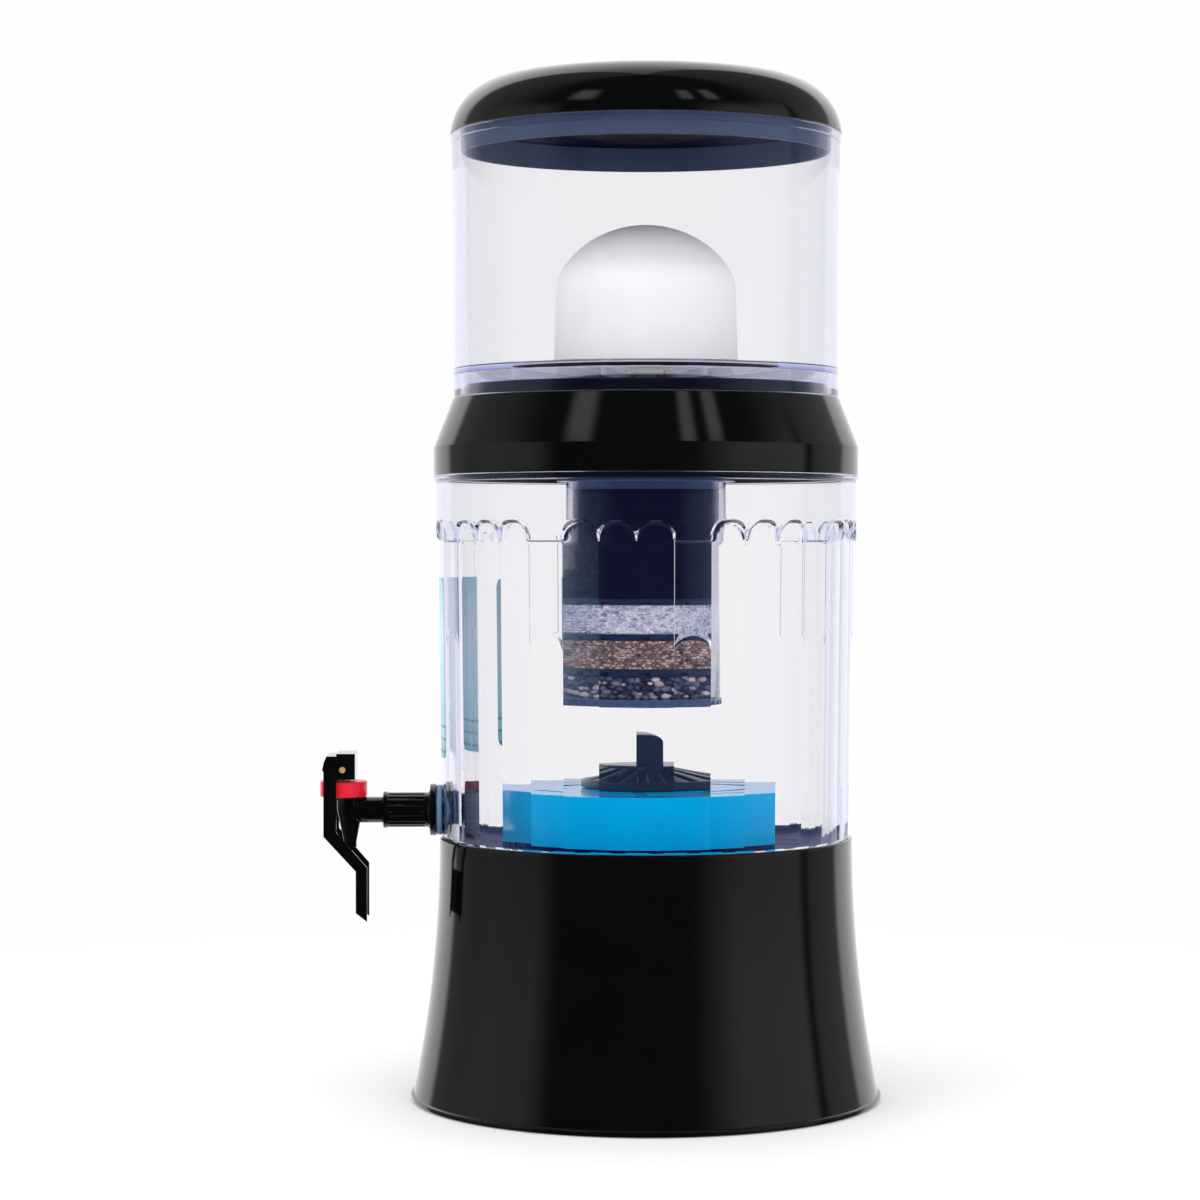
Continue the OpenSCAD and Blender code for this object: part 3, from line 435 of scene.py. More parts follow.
def clear_rib(name, colour, share):
    """A thin clear rib that shows as a faint tone over what is behind it."""
    m = Nodes(name)
    skin = m.bump(m.noise(300, 2), 0.2, 0.02)
    tone = m.spread(m.noise(40, 2), share * 0.8, share * 1.2)
    shade = m.principled(Base_Color=colour, Roughness=0.3, Normal=skin)
    return m.surface(m.mix_shader(tone, m.see_through(), shade))


def grainy(name, rough, *stops, scale=1500, depth=0.05, **more):
    """Loose grains: each one has its own tone, with finer specks and a rough skin."""
    m = Nodes(name)
    base = m.ramp(m.add("NewGeometry").outputs["Random Per Island"], *stops)
    speck = m.noise(scale, 5, 0.7)
    shade = m.ramp(speck, (0.25, grey(0.45)), (0.75, grey(1)))
    tone = m.mix_colour(0.55, base, shade, blend_type="MULTIPLY")
    skin = m.bump(speck, 0.5, depth)
    return m.surface(Base_Color=tone, Roughness=rough, Normal=skin, **more)


def metal(name, colour, rough, stretch, metallic=1.0):
    """Metal with brush marks along one axis."""
    m = Nodes(name)
    brushed = m.noise(900, 3, stretch=stretch)
    base = m.ramp(m.noise(200, 3), (0.3, [c * 0.86 for c in colour]), (0.7, colour))
    worn = m.spread(brushed, rough * 0.7, rough * 1.5)
    skin = m.bump(brushed, 0.15, 0.01)
    return m.surface(Base_Color=base, Roughness=worn, Metallic=metallic, Normal=skin)


def label_material():
    """A pale cyan film with a plain panel and green rules; height runs along Z."""
    m = Nodes("label_film")
    z = m.spread(m.add("SeparateXYZ", m.coord()).outputs["Z"], 0, 1, (0.164, 0.250))
    low, high = srgb(116, 188, 206), srgb(168, 216, 228)
    fade = m.ramp(z, (0.0, low), (0.35, srgb(176, 220, 228)), (0.7, srgb(198, 230, 234)), (1.0, high))
    marks = [0.0, 0.028, 0.046, 0.10, 0.112, 0.17, 0.182]
    rules = m.ramp(z, *[(mark, grey(k % 2)) for k, mark in enumerate(marks)], interpolation="CONSTANT")
    tone = m.mix_colour(rules, fade, srgb(70, 140, 96))
    worn = m.spread(m.noise(60), 0.28, 0.42)
    skin = m.bump(m.noise(1500, 2), 0.15, 0.01)
    return m.surface(Base_Color=tone, Roughness=worn, Normal=skin)


LILAC = (0.14, 0.14, 0.657)
SLATE = {"grain": 900, "depth": 0.01, "vary": 0.1, "mottle": 30, "Specular_IOR_Level": 0.1}
black = moulded("gloss_black", (0.0014, 0.0019, 0.0017), 0.07, 1400, 0.006, 0.25, 30)
# Slate for the lid's underside: painted light, the lit look of the black lid seen through the clear tank
lid_painted_lit_slate = moulded("lid_underside_painted_light", srgb(62, 74, 98), 0.4, **SLATE)
tank_clear = clear("clear_plastic", 13.5, LILAC, ior=1.46, Specular_Tint=(0.5, 0.55, 0.8))
shell_clear = clear("clear_shell", 30, LILAC, ior=1.45, Specular_Tint=(0.6, 0.75, 1))
rib_clear = clear_rib("clear_rib", (0.62, 0.62, 0.86), 0.22)
# Slate for the tank's inner floor: a painted view of the lit black deck through the clear floor
painted_deck_slate = moulded("clear_floor_painted_deck_view", srgb(58, 66, 108), 0.5, **SLATE)
ceramic = moulded("white_ceramic", (0.885, 0.885, 0.88), 0.62, 500, 0.05, 0.025, 60)
white_plastic = moulded("white_plastic", (0.72, 0.73, 0.75), 0.35)
soft_seal = moulded("soft_seal", (0.62, 0.50, 0.56), 0.55, 700, 0.03)
smoke_look = {"grain": 1200, "depth": 0.01, "vary": 0.1, "Transmission_Weight": 0.25}
smoke_blue = moulded("smoke_blue_plastic", (0.05, 0.085, 0.19), 0.16, **smoke_look)
navy = moulded("navy_plastic", (0.012, 0.024, 0.05), 0.2, 1200, 0.01, 0.2)
blue_look = {"grain": 1200, "depth": 0.004, "vary": 0.05, "mottle": 25, "Specular_Tint": (0, 0.5, 1)}
blue = moulded("blue_plastic", (0.0, 0.36, 0.72), 0.1, **blue_look)
pale_blue = clear("pale_blue_clear", 60, (0.25, 0.5, 0.9), rough=0.05)
grey_seal = moulded("grey_seal", (0.10, 0.19, 0.30), 0.4, 800, 0.02)
rubber = moulded("black_rubber", grey(0.01), 0.6, 700, 0.03)
red = moulded("red_plastic", (0.76, 0.011, 0.027), 0.2, 1300, 0.01, 0.06)
steel = metal("steel", (0.62, 0.63, 0.65), 0.25, (1, 1, 12))
brass = metal("brass", (0.80, 0.50, 0.20), 0.3, (12, 1, 1), 0.45)
coal, coal_pale = (0.0012, 0.0022, 0.007), (0.003, 0.0055, 0.016)
carbon = grainy("carbon", 0.5, (0, coal), (1, coal_pale), scale=900, depth=0.2, Specular_IOR_Level=0.08)
white_mineral = grainy(
    "white_mineral", 0.6,
    (0.0, srgb(178, 184, 206)), (0.5, srgb(226, 229, 240)),
    (0.85, srgb(248, 248, 252)), (1.0, srgb(140, 148, 178)),
)
brown_ball = grainy(
    "brown_ball", 0.65,
    (0.0, srgb(116, 92, 88)), (0.45, srgb(176, 147, 136)),
    (0.8, srgb(226, 200, 184)), (1.0, srgb(62, 48, 54)),
)
dark_stone = grainy(
    "dark_stone", 0.45,
    (0.0, srgb(38, 46, 62)), (0.4, srgb(66, 76, 94)), (0.66, srgb(104, 112, 128)),
    (0.8, srgb(186, 164, 170)), (0.9, srgb(222, 218, 222)), (1.0, srgb(54, 62, 78)),
)
pale_stone = grainy(
    "pale_stone", 0.55,
    (0.0, srgb(150, 156, 160)), (0.5, srgb(205, 205, 200)), (1.0, srgb(232, 228, 220)),
)
label_film = label_material()

# ---- stand
STAND_IN_R = NEST_R + 0.4
STAND_WALL = 3
DECK_R = 70
ARC_R = (STAND_H**2 + STAND_FLARE**2) / (2 * STAND_FLARE)


def stand_arc(z, inset=0.0):
    """Radius of the stand's flared wall at a height."""
    return STAND_R + ARC_R - sqrt((ARC_R + inset) ** 2 - (STAND_H - z) ** 2)


def stand_profile():
    foot_r = STAND_R + STAND_FLARE + 0.9
    under = Z_TANK - STAND_WALL
    outer = [(foot_r - 3.4, 0, 0.4), (foot_r, 0, 0.8), (foot_r, 2.4, 0.9)]
    outer += [(stand_arc(z), z) for z in np.linspace(3.0, STAND_H - 2.2, 40)]
    outer += [(STAND_R, STAND_H, 1.5), (STAND_IN_R, STAND_H, 0.5)]
    outer += [(STAND_IN_R, Z_TANK, 0.6), (DECK_R, Z_TANK, 0.8), (DECK_R, under, 0.8)]
    outer += [(stand_arc(under, STAND_WALL) - 0.2, under, 1.5)]
    outer += [(stand_arc(z, STAND_WALL), z) for z in np.linspace(Z_TANK - 8, 6, 24)]
    return fillet(outer)


piece("stand_moulding", lathe(stand_profile(), 320), black, "stand", "stand")

# ---- lower tank
# The upright rows of points over a reed, as shares of its half width
COLUMNS = [-1, -0.985, -0.95, -0.9, -0.82, -0.7, -0.52, -0.27, 0]
COLUMNS += [-share for share in COLUMNS[-2::-1]]
ARCH_R, ARCH_APEX = 8.37, 276.5
LOW_ARCH_R, LOW_ARCH_APEX = 8.97, 226.0
ARCH_SOFT = 1.0
# How much of the arches and the shoulder the wall's inside follows
INNER_FOLLOW = 0.6


def reed_r(z, turn):
    """Radius of a reed's face at an angle from its crown."""
    centre = crown_r(z) - REED_R
    return centre * cos(turn) + sqrt(REED_R**2 - (centre * sin(turn)) ** 2)


def tank_outer_r(z, share, low):
    """Radius of the lower tank's outer face, at a share of a reed's half width."""
    face = reed_r(z, FACET_HALF * share)
    if low and abs(share) < 1:
        arch_r, apex = LOW_ARCH_R, LOW_ARCH_APEX
        outside = ridge_r(z) + (BAND_R - ridge_r(z)) * smooth(-0.35, 0.35, z - Z_SHOULDER)
    else:
        arch_r, apex = ARCH_R, ARCH_APEX
        outside = BAND_R
    up = z - (apex - arch_r)
    side = abs(face * sin(FACET_HALF * share))
    past = smooth(-ARCH_SOFT, ARCH_SOFT, hypot(side, up) - arch_r)
    blend = past * smooth(-ARCH_SOFT, ARCH_SOFT, up)
    return face * (1 - blend) + outside * blend


def tank_levels():
    """Heights of the rows of points, closer together over the arches."""
    levels = [Z_STEP, Z_STEP + 0.5, 150, 180, 205, 213.5]
    levels += [214.6 + 0.5 * k for k in range(30)]
    levels += [235, 250, 262, 265.5] + [Z_SHOULDER + dz for dz in (-0.5, -0.3, -0.1, 0.1, 0.3, 0.5)]
    return levels + [268.4 + 0.5 * k for k in range(23)]


def tank_column(share, low):
    """One upright section of the lower tank."""
    outer = [(tank_outer_r(z, share, low), z) for z in tank_levels()]
    inner = [(BAND_IN_R - (BAND_R - r) * INNER_FOLLOW, z) for r, z in outer[::-1]]
    section = at(Z_TANK, (0, 0), (NEST_R - 2.2, 0), (NEST_R - 0.6, 0.6), (NEST_R, 2.2))
    section += [(NEST_R, Z_STEP - 0.6)] + outer
    section += at(Z_TANK_TOP, (BAND_R, -13), (BAND_R, -3.4), (BAND_R, -2.9), (BAND_R + 0.2, -2.6))
    section += at(Z_TANK_TOP, (RIM_R - 0.3, -2.6), (RIM_R, -2.3), (RIM_R, -0.4), (RIM_R - 0.4, 0))
    section += at(Z_TANK_TOP, (BAND_IN_R + 0.3, 0), (BAND_IN_R, -0.3), (BAND_IN_R, -0.8), (BAND_IN_R, -16))
    section += [(r, z) for r, z in inner if z > Z_SHOULDER - 0.4]
    wall_r = ridge_r(Z_SHOULDER - 1.5) - TANK_WALL
    base_r = ridge_r(Z_FLOOR) - TANK_WALL
    section += at(Z_SHOULDER, (wall_r, -1.5), (wall_r - 0.01, -2.2))
    section += [(ridge_r(z) - TANK_WALL, z) for z in (230, 190, 160, 135, Z_FLOOR + 3.6)]
    corner = ((base_r + 0.02, 3), (base_r - 0.4, 1.5), (base_r - 1.5, 0.4), (base_r - 3, 0), (0, 0))
    return section + at(Z_FLOOR, *corner)


def mark_grooves(mesh):
    """The grooves between the reeds stay crisp."""
    turns = []
    for vert in mesh.vertices:
        x, y, z = vert.co
        groove = (atan2(y, x) + pi / 2) / (2 * FACET_HALF) - 0.5
        outside = hypot(x, y) > (TANK_R - 1.2) * MM and Z_STEP * MM < z < (Z_SHOULDER + 2) * MM
        turns.append(outside and abs(groove - round(groove)) < 1e-3)
    for edge in mesh.edges:
        if turns[edge.vertices[0]] and turns[edge.vertices[1]]:
            edge.use_edge_sharp = True


def tank_mesh():
    """The lower tank, reed by reed; its inner floor is painted slate, a painted view of the lit black deck
    under the clear floor.
    """
    verts, faces = [], []
    sections = {(share, low): tank_column(share, low) for share in COLUMNS for low in (False, True)}
    rows = len(sections[(0, True)])
    for n in range(FACETS):
        middle = -pi / 2 + n * 2 * FACET_HALF
        start = len(verts)
        for share in COLUMNS:
            a = middle + FACET_HALF * share
            c, s = cos(a), sin(a)
            verts += [(r * c, r * s, z) for r, z in sections[(share, n % 4 == 2)]]
        for j in range(len(COLUMNS) - 1):
            faces += strip(start + j * rows, start + (j + 1) * rows, rows, closed=False)
    mesh = finish_mesh(verts, faces, sharp=50, keep_winding=True)
    mark_grooves(mesh)
    mesh.materials.append(tank_clear)
    mesh.materials.append(painted_deck_slate)
    # Faces of the inner floor take the painted slate that stands for the lit deck
    floor_r = (ridge_r(Z_FLOOR) - TANK_WALL + 0.2) * MM
    for face in mesh.polygons:
        low = (Z_FLOOR - 0.05) * MM < face.center.z < (Z_FLOOR + 2.4) * MM
        if low and hypot(face.center.x, face.center.y) < floor_r:
            face.material_index = 1
    return mesh


piece("lower_tank_moulding", tank_mesh(), tank_clear, "lower_tank", "lower_tank")

# Pads on both sides of the wall, under the tap's gaskets
PAD_IN_R, PAD_R = 8.1, 12.3
PAD_Y = 98.0
wall_out = TANK_R - 2
wall_in = ridge_r(TAP_Z) - TANK_WALL
pad_out = [(PAD_IN_R, wall_out), (PAD_R, wall_out), (PAD_R, PAD_Y, 0.25), (PAD_IN_R, PAD_Y, 0.2)]
pad_in = [(PAD_IN_R, wall_in - 1, 0.2), (PAD_R, wall_in - 1, 0.3)]
pad_in += [(PAD_R, wall_in - 0.15), (PAD_IN_R, wall_in - 0.15)]
pads = join(*[revolve(fillet(pad), 96, place=front) for pad in (pad_out, pad_in)])
piece("tap_pads", finish_mesh(*pads), tank_clear, "lower_tank")


# ---- level label
def label_mesh():
    """The film follows the reeds; its corners are rounded."""
    z0, z1, half, radius = 164.1, 249.9, radians(22.4), 98.5
    cols, rows, corner = 96, 24, 5.0
    levels = [(k, 0.05) for k in range(rows + 1)] + [(k, 0.35) for k in range(rows, -1, -1)]

    def point(j, i):
        row, gap = levels[i]
        from_middle = -half + 2 * half * j / cols
        from_edge = (half - abs(from_middle)) * radius
        cut = corner - sqrt(max(corner**2 - max(corner - from_edge, 0) ** 2, 0))
        z = z0 + cut + (z1 - z0 - 2 * cut) * row / rows
        from_tap = from_middle - LABEL_TURN
        reed = round(from_tap / (2 * FACET_HALF))
        share = from_tap / FACET_HALF - 2 * reed
        face = tank_outer_r(z, max(-0.99, min(0.99, share)), reed % 4 == 2)
        r = max(face, crown_r(z) - 0.3) + gap
        return upright(r, z, cos(from_tap - pi / 2), sin(from_tap - pi / 2))

    return finish_mesh(*wire(cols, len(levels), point))


piece("level_label_film", label_mesh(), label_film, "lower_tank", "level_label")

# ---- collar
COLLAR_IN_R = RIM_R - 3
COLLAR_TOP_R = UPPER_R + 0.4
PLUG_R = BAND_IN_R - 0.4
HUB_R, HUB_IN_R = 25, 22.1
SKIRT_IN_R = UPPER_R - UPPER_WALL + 0.3
LOCATOR_R = SKIRT_IN_R - 0.4
LOCATOR_IN_R = LOCATOR_R - 2.5
collar_profile = fillet(
    at(Z_TANK_TOP, (HUB_IN_R, 0, 0.5), (PLUG_R - 2.5, 0), (PLUG_R - 2.5, -2.2, 0.5), (PLUG_R, -2.2, 0.5))
    + at(Z_TANK_TOP, (PLUG_R, 0), (RIM_R, 0, 0.5), (RIM_R, 13.3, 1.6))
    + at(Z_LEDGE, (COLLAR_TOP_R, 0, 0.9), (LOCATOR_R, 0), (LOCATOR_R, 6, 0.6), (LOCATOR_IN_R, 6, 0.6))
    + at(Z_LEDGE, (LOCATOR_IN_R, -2.5, 0.5), (COLLAR_TOP_R - 3, -2.5))
    + at(Z_TANK_TOP, (COLLAR_IN_R, 12.3, 1.0), (COLLAR_IN_R, 3, 1.0), (HUB_R, 3, 1.0))
    + at(Z_TANK_TOP, (HUB_R, 5.5, 0.6), (HUB_IN_R, 5.5, 0.6))
)
piece("collar_moulding", lathe(collar_profile, 320), black, "collar", "collar")

# ---- upper tank
BOSS_IN_R, BOSS_R = 5.4, 32
RIBS, RIB_T = 12, 2
UPPER_UNDER = Z_UPPER_FLOOR - 4
upper_top_in = upper_r(Z_UPPER_TOP) - UPPER_WALL
upper_floor_in = upper_r(Z_UPPER_FLOOR) - UPPER_WALL
BEAD_R = upper_r(Z_UPPER_TOP) + 0.6
upper_profile = at(UPPER_UNDER, (BOSS_IN_R, 0), (BOSS_R - 1, 0, 0.5))
upper_profile += at(UPPER_UNDER, (BOSS_R, 1.8, 0.5), (SKIRT_IN_R, 1.8, 0.6))
upper_profile += at(Z_LEDGE + 0.05, (SKIRT_IN_R, 0, 0.5), (UPPER_R, 0, 0.6)) + [(upper_r(400), 400)]
upper_profile += at(Z_UPPER_TOP, (upper_r(Z_UPPER_TOP - 4), -4, 0.4), (BEAD_R, -3.5, 0.4), (BEAD_R, 0, 0.5))
upper_profile += [(upper_top_in, Z_UPPER_TOP, 0.5)]
upper_profile += at(Z_UPPER_FLOOR, (upper_floor_in, 0, 1.0), (BOSS_IN_R, 0))


def rib(turn):
    """One of the ribs under the floor, at an angle round the tank."""
    c, s = cos(turn), sin(turn)
    near, far = BOSS_R + 2, SKIRT_IN_R - 0.05
    outline = at(UPPER_UNDER, (near, -2.5), (far, -2.5), (far, 1.7), (near, 1.7))
    return prism(outline, RIB_T, lambda x, z, d: (x * c - d * s, x * s + d * c, z))


ribs = join(*[rib(tau * (n + 0.5) / RIBS) for n in range(RIBS)])
upper_tank = lathe(fillet(upper_profile, 8), 384, sharp=30)
piece("upper_tank_moulding", upper_tank, tank_clear, "upper_tank", "upper_tank")
piece("upper_tank_ribs", finish_mesh(*ribs, sharp=30), rib_clear, "upper_tank", slot="clear_plastic")

# ---- lid
LID_R = BEAD_R + 0.2
LID_T = 2.5
CORNER_R = 28.0
CORNER_Z = Z_UPPER_TOP + 26.3 - CORNER_R
CORNER_X = LID_R - sqrt(CORNER_R**2 - (Z_UPPER_TOP - CORNER_Z) ** 2)
LIP_R = upper_top_in - 0.8
CROWN_RISE = 1.2
LID_CROWN_R = (CORNER_X**2 + CROWN_RISE**2) / (2 * CROWN_RISE)


def lid_profile():
    a0 = degrees(asin((Z_UPPER_TOP - CORNER_Z) / CORNER_R))
    crown_z = CORNER_Z + CORNER_R + CROWN_RISE - LID_CROWN_R
    lip_in = LIP_R - 2.3
    shell = at(Z_UPPER_TOP, (lip_in, -9.8, 0.6), (LIP_R, -9.8, 0.6), (LIP_R, 0.05), (LID_R - 0.5, 0.05))
    shell += arc(CORNER_X, CORNER_Z, CORNER_R, a0 + 0.8, 88, 30)
    shell += [(x, crown_z + sqrt(LID_CROWN_R**2 - x**2)) for x in np.linspace(CORNER_X - 2, 0, 8)]
    inner_r = LID_CROWN_R - LID_T
    shell += [(x, crown_z + sqrt(inner_r**2 - x**2)) for x in np.linspace(0, CORNER_X - 2, 6)]
    shell += arc(CORNER_X, CORNER_Z, CORNER_R - LID_T, 86, a0 + 6, 20)
    return fillet(shell + [(lip_in, Z_UPPER_TOP + 2.6, 0.4)])


def lid_mesh():
    """The lid; its underside is painted a satin slate: painted light, standing in for how the black lid looks
    lit through the clear tank.
    """
    mesh = lathe(lid_profile(), 320)
    mesh.materials.append(black)
    mesh.materials.append(lid_painted_lit_slate)
    # Faces of the underside take the slate: painted light on the black lid
    for face in mesh.polygons:
        x, y, z = face.center
        r = hypot(x, y)
        outward = (x * face.normal.x + y * face.normal.y) / max(r, 1e-6)
        inside = face.normal.z < -0.2 or outward < -0.3 or z < Z_UPPER_TOP * MM
        if inside and r < (LIP_R + 0.1) * MM:
            face.material_index = 1
    return mesh


piece("lid_moulding", lid_mesh(), black, "lid", "lid")

# ---- ceramic dome
DOME_R, DOME_SIDE, DOME_WALL = 44.3, 43.2, 7
CAP_R, BEND_R = 49.0, 22.0
CAP_Z = Z_UPPER_FLOOR + 68 - CAP_R
BEND_X = DOME_SIDE - BEND_R
BEND_Z = CAP_Z + sqrt((CAP_R - BEND_R) ** 2 - BEND_X**2)


def dome_profile():
    """Outside and back inside, each a round cap that bends into the side."""
    low = Z_UPPER_FLOOR + 0.4
    top = degrees(atan2(BEND_Z - CAP_Z, BEND_X))
    outer = [(DOME_R - DOME_WALL, low, 0.8), (DOME_R, low, 1.2)]
    outer += arc(BEND_X, BEND_Z, BEND_R, 0, top, 16) + arc(0, CAP_Z, CAP_R, top + 2, 90, 16)
    outer += arc(0, CAP_Z, CAP_R - DOME_WALL, 90, top + 2, 14)
    outer += arc(BEND_X, BEND_Z, BEND_R - DOME_WALL, top, 0, 12)
    return fillet(outer)


piece("ceramic_dome", lathe(dome_profile(), 256), ceramic, "upper_tank", "dome_shell")
dressed("dome_base_disc", "dome_base", white_plastic, "upper_tank", 0.5)
dressed("dome_base_seal", "dome_gasket", soft_seal, "upper_tank", 0.2)
dressed("stem_seal", "stem_washer", soft_seal, "upper_tank", 0.3)
dressed("stem_wing_nut", "wing_nut", white_plastic, "wing_nut", 0.5)

# ---- cartridge
SHELL_R, SHELL_WALL = 38.5, 2.8
SHELL_IN_R = SHELL_R - SHELL_WALL
BED_R = SHELL_IN_R - 0.2
FOOT_R = 38.8
Z_CART_FLANGE = 296.0
Z_CART_FOOT = 188.9
Z_STONE = Z_CART_FOOT + 3.7
DISC_T = 3.1
Z_DISC = (Z_STONE + 11.3, Z_STONE + 28.0, Z_STONE + 44.7)
Z_BED = [z + DISC_T for z in Z_DISC]
Z_CARBON_TOP = Z_CART_FLANGE - 4

dressed("cartridge_neck", "cartridge_cap", smoke_blue, "cartridge", 0.3)
dressed("cartridge_seal", "cartridge_gasket", soft_seal, "cartridge", 0.15)
shell_profile = [(SHELL_IN_R, Z_STONE, 0.3), (SHELL_R, Z_STONE, 0.4)]
shell_profile += [(r, Z_CART_FLANGE - 0.05, 0.3) for r in (SHELL_R, SHELL_IN_R)]
piece("cartridge_tube", lathe(fillet(shell_profile), 256), shell_clear, "cartridge", "cartridge_shell")

foot_top = Z_STONE - 0.1
foot_profile = at(Z_CART_FOOT, (0, 0), (36, 0, 0.5), (FOOT_R, 0.3, 0.4), (FOOT_R, 2.7))
foot_profile += [(FOOT_R, foot_top, 0.3), (0, foot_top)]
foot_grooves = grooves(60, 0.7, 0.5, lambda r, z: r > 38 and z < Z_STONE - 1)
foot = lathe(fillet(foot_profile, 4), 480, foot_grooves)
piece("cartridge_foot_cap", foot, smoke_blue, "cartridge", "cartridge_foot")
dressed("separator_rings", "separator_discs", navy, "cartridge", 0.3)


def ball(level):
    bm = bmesh.new()
    bmesh.ops.create_icosphere(bm, subdivisions=level, radius=0.5)
    verts = np.array([v.co[:] for v in bm.verts])
    faces = [tuple(v.index for v in f.verts) for f in bm.faces]
    bm.free()
    return verts, faces


def turn_matrix(rng):
    """A random rotation."""
    q = np.array([rng.gauss(0, 1) for _ in range(4)])
    w, x, y, z = q / np.linalg.norm(q)
    axis = np.array([[0, -z, y], [z, 0, -x], [-y, x, 0]])
    return np.eye(3) + 2 * w * axis + 2 * axis @ axis


def lump(rng, base, scale, lumps):
    """A ball that is scaled, made uneven and turned at random, and how far it reaches from its middle."""
    rough = 1 + lumps * np.array([rng.uniform(-1, 1) for _ in range(len(base))])
    shape = (base * rough[:, None] * np.array(scale)) @ turn_matrix(rng).T
    return shape, float(np.abs(shape).max())


def put(shape, r, angle, z):
    """The points of a lump, moved to its place."""
    return (shape + [r * cos(angle), r * sin(angle), z]).tolist()


def core(r, z0, z1):
    """The plain core under a skin of grains."""
    return revolve([(0, z0), (r, z0), (r, z1), (0, z1)], 96)


def grains(z0, z1, size, seed, lumps, spread, squash=0.75):
    """A layer of loose grains against the shell, round a plain core of the same stuff."""
    rng = random.Random(seed)
    base, base_faces = ball(1)
    parts = []
    rows = max(1, round((z1 - z0) / (size * 0.8)))
    count = round(tau * (BED_R - size / 2) / (size * 0.92))
    for row in range(rows):
        z_row = z0 + (z1 - z0) * (row + 0.5) / rows
        for k in range(count):
            s = size * (1 + rng.uniform(-spread, spread))
            scale = (s, s * rng.uniform(squash, 1), s * rng.uniform(squash, 1))
            shape, reach = lump(rng, base, scale, lumps)
            angle = tau * (k + 0.5 * (row % 2) + rng.uniform(-0.25, 0.25)) / count
            r = BED_R - reach - rng.uniform(0, size * 0.25)
            z = z_row + rng.uniform(-0.2, 0.2) * size
            z = min(max(z, z0 + reach), z1 - reach) if z1 - z0 > 2 * reach else (z0 + z1) / 2
            parts.append((put(shape, r, angle, z), base_faces))
    return finish_mesh(*join(*parts, core(BED_R - size * 0.75, z0, z1)), sharp=60)


stones = grains(Z_STONE + 0.05, Z_DISC[0], 3.0, 11, 0.14, 0.45)
balls = grains(Z_BED[0], Z_DISC[1], 1.5, 12, 0.03, 0.15, 0.9)
minerals = grains(Z_BED[1], Z_DISC[2], 1.7, 13, 0.1, 0.3)
piece("stone_grains", stones, dark_stone, "cartridge", "dark_stones")
piece("ball_grains", balls, brown_ball, "cartridge", "brown_balls")
piece("mineral_grains", minerals, white_mineral, "cartridge", "white_minerals")


def carbon_mesh():
    """Packed fine carbon: a cylinder whose side is pitted grain by grain."""
    rng = random.Random(14)
    rows, cols = 72, 300
    rise = Z_CARBON_TOP - Z_BED[2]
    side = [(BED_R, Z_BED[2] + rise * k / rows) for k in range(rows + 1)]
    profile = [(0, Z_BED[2])] + side + [(0, Z_CARBON_TOP)]
    return lathe(profile, cols, lambda r, z, a: (-0.7 * rng.random() ** 2 if r else 0, 0), 70)


piece("carbon_grains", carbon_mesh(), carbon, "cartridge", "carbon_bed")

# ---- mineral tray
TRAY_R, TRAY_WALL = 66.0, 2.5
BAND_OUT_R = TRAY_R - 0.4
DISH_R = TRAY_R - TRAY_WALL - 0.4
DISH_IN_R = DISH_R - TRAY_WALL
Z_TRAY_TOP = Z_FLOOR + 27.4
dressed("tray_cap_moulding", "tray_cap", blue, "mineral_tray", 0.35)

dish_profile = at(Z_FLOOR, (0, 0.05), (BAND_OUT_R, 0.05, 0.3), (BAND_OUT_R, 2.7, 0.3), (DISH_R, 2.7))
dish_profile += at(Z_FLOOR, (DISH_R, 22.9, 0.5), (DISH_IN_R, 22.9, 0.5), (DISH_IN_R, 2.2, 1.5), (0, 2.2))
dish = lathe(fillet(dish_profile, 4), 1080, grooves(180, 0.7, 0.5, lambda r, z: r > TRAY_R - 1))
piece("tray_dish_moulding", dish, pale_blue, "mineral_tray", "tray_dish")


def pebble_mesh():
    """Pebbles in the dish: a top layer that shows through the cap's slots, round a plain core."""
    rng = random.Random(15)
    base, base_faces = ball(2)
    parts = []
    top = Z_FLOOR + 16.9
    reach_r = DISH_IN_R - 0.2
    ring = 3.0
    while ring < reach_r - 2:
        count = max(5, round(tau * ring / 5))
        for k in range(count):
            s = rng.uniform(4.4, 6.2)
            shape, reach = lump(rng, base, (s, s * rng.uniform(0.7, 1), s * 0.7), 0.08)
            angle = tau * (k + rng.uniform(-0.2, 0.2)) / count
            r = min(ring + rng.uniform(-0.8, 0.8), reach_r - reach)
            parts.append((put(shape, r, angle, top - reach - rng.uniform(0, 1.2)), base_faces))
        ring += 4.6
    return finish_mesh(*join(*parts, core(reach_r, Z_FLOOR + 2.25, top - 5)), sharp=60)


piece("tray_pebbles", pebble_mesh(), pale_stone, "mineral_tray", "tray_stones")

# Knob: a ribbed cone under a drum, with an upright grip
KNOB_R, DRUM_R, KNOB_STUD_R = 31.3, 17.8, 14
Z_KNOB = Z_TRAY_TOP + 0.2
Z_KNOB_TOP = Z_KNOB + 11
Z_STUD = Z_TRAY_TOP - 6.5
GRIP_L, GRIP_HALF, GRIP_H = 30, 4.75, 15.8
cone_low, cone_high = np.array((KNOB_R - 1.2, Z_KNOB + 4.4)), np.array((DRUM_R + 1.0, Z_KNOB_TOP - 1.4))
knob_profile = [(0, Z_STUD), (KNOB_STUD_R, Z_STUD, 0.6), (KNOB_STUD_R, Z_KNOB, 0.3)]
knob_profile += at(Z_KNOB, (KNOB_R, 0, 0.6), (KNOB_R, 4, 0.8))
knob_profile += [tuple(cone_low + (cone_high - cone_low) * k / 10) for k in range(11)]
knob_profile += at(Z_KNOB_TOP, (DRUM_R, -1), (DRUM_R, 0, 0.6), (0, 0))


def knob_ripple(r, z, a):
    """24 radial grooves in the cone."""
    on_cone = DRUM_R + 0.9 < r < KNOB_R - 1.1 and z > Z_KNOB + 4.3
    return 0, (-0.95 * pulse(a, 24, 0.34) if on_cone else 0)


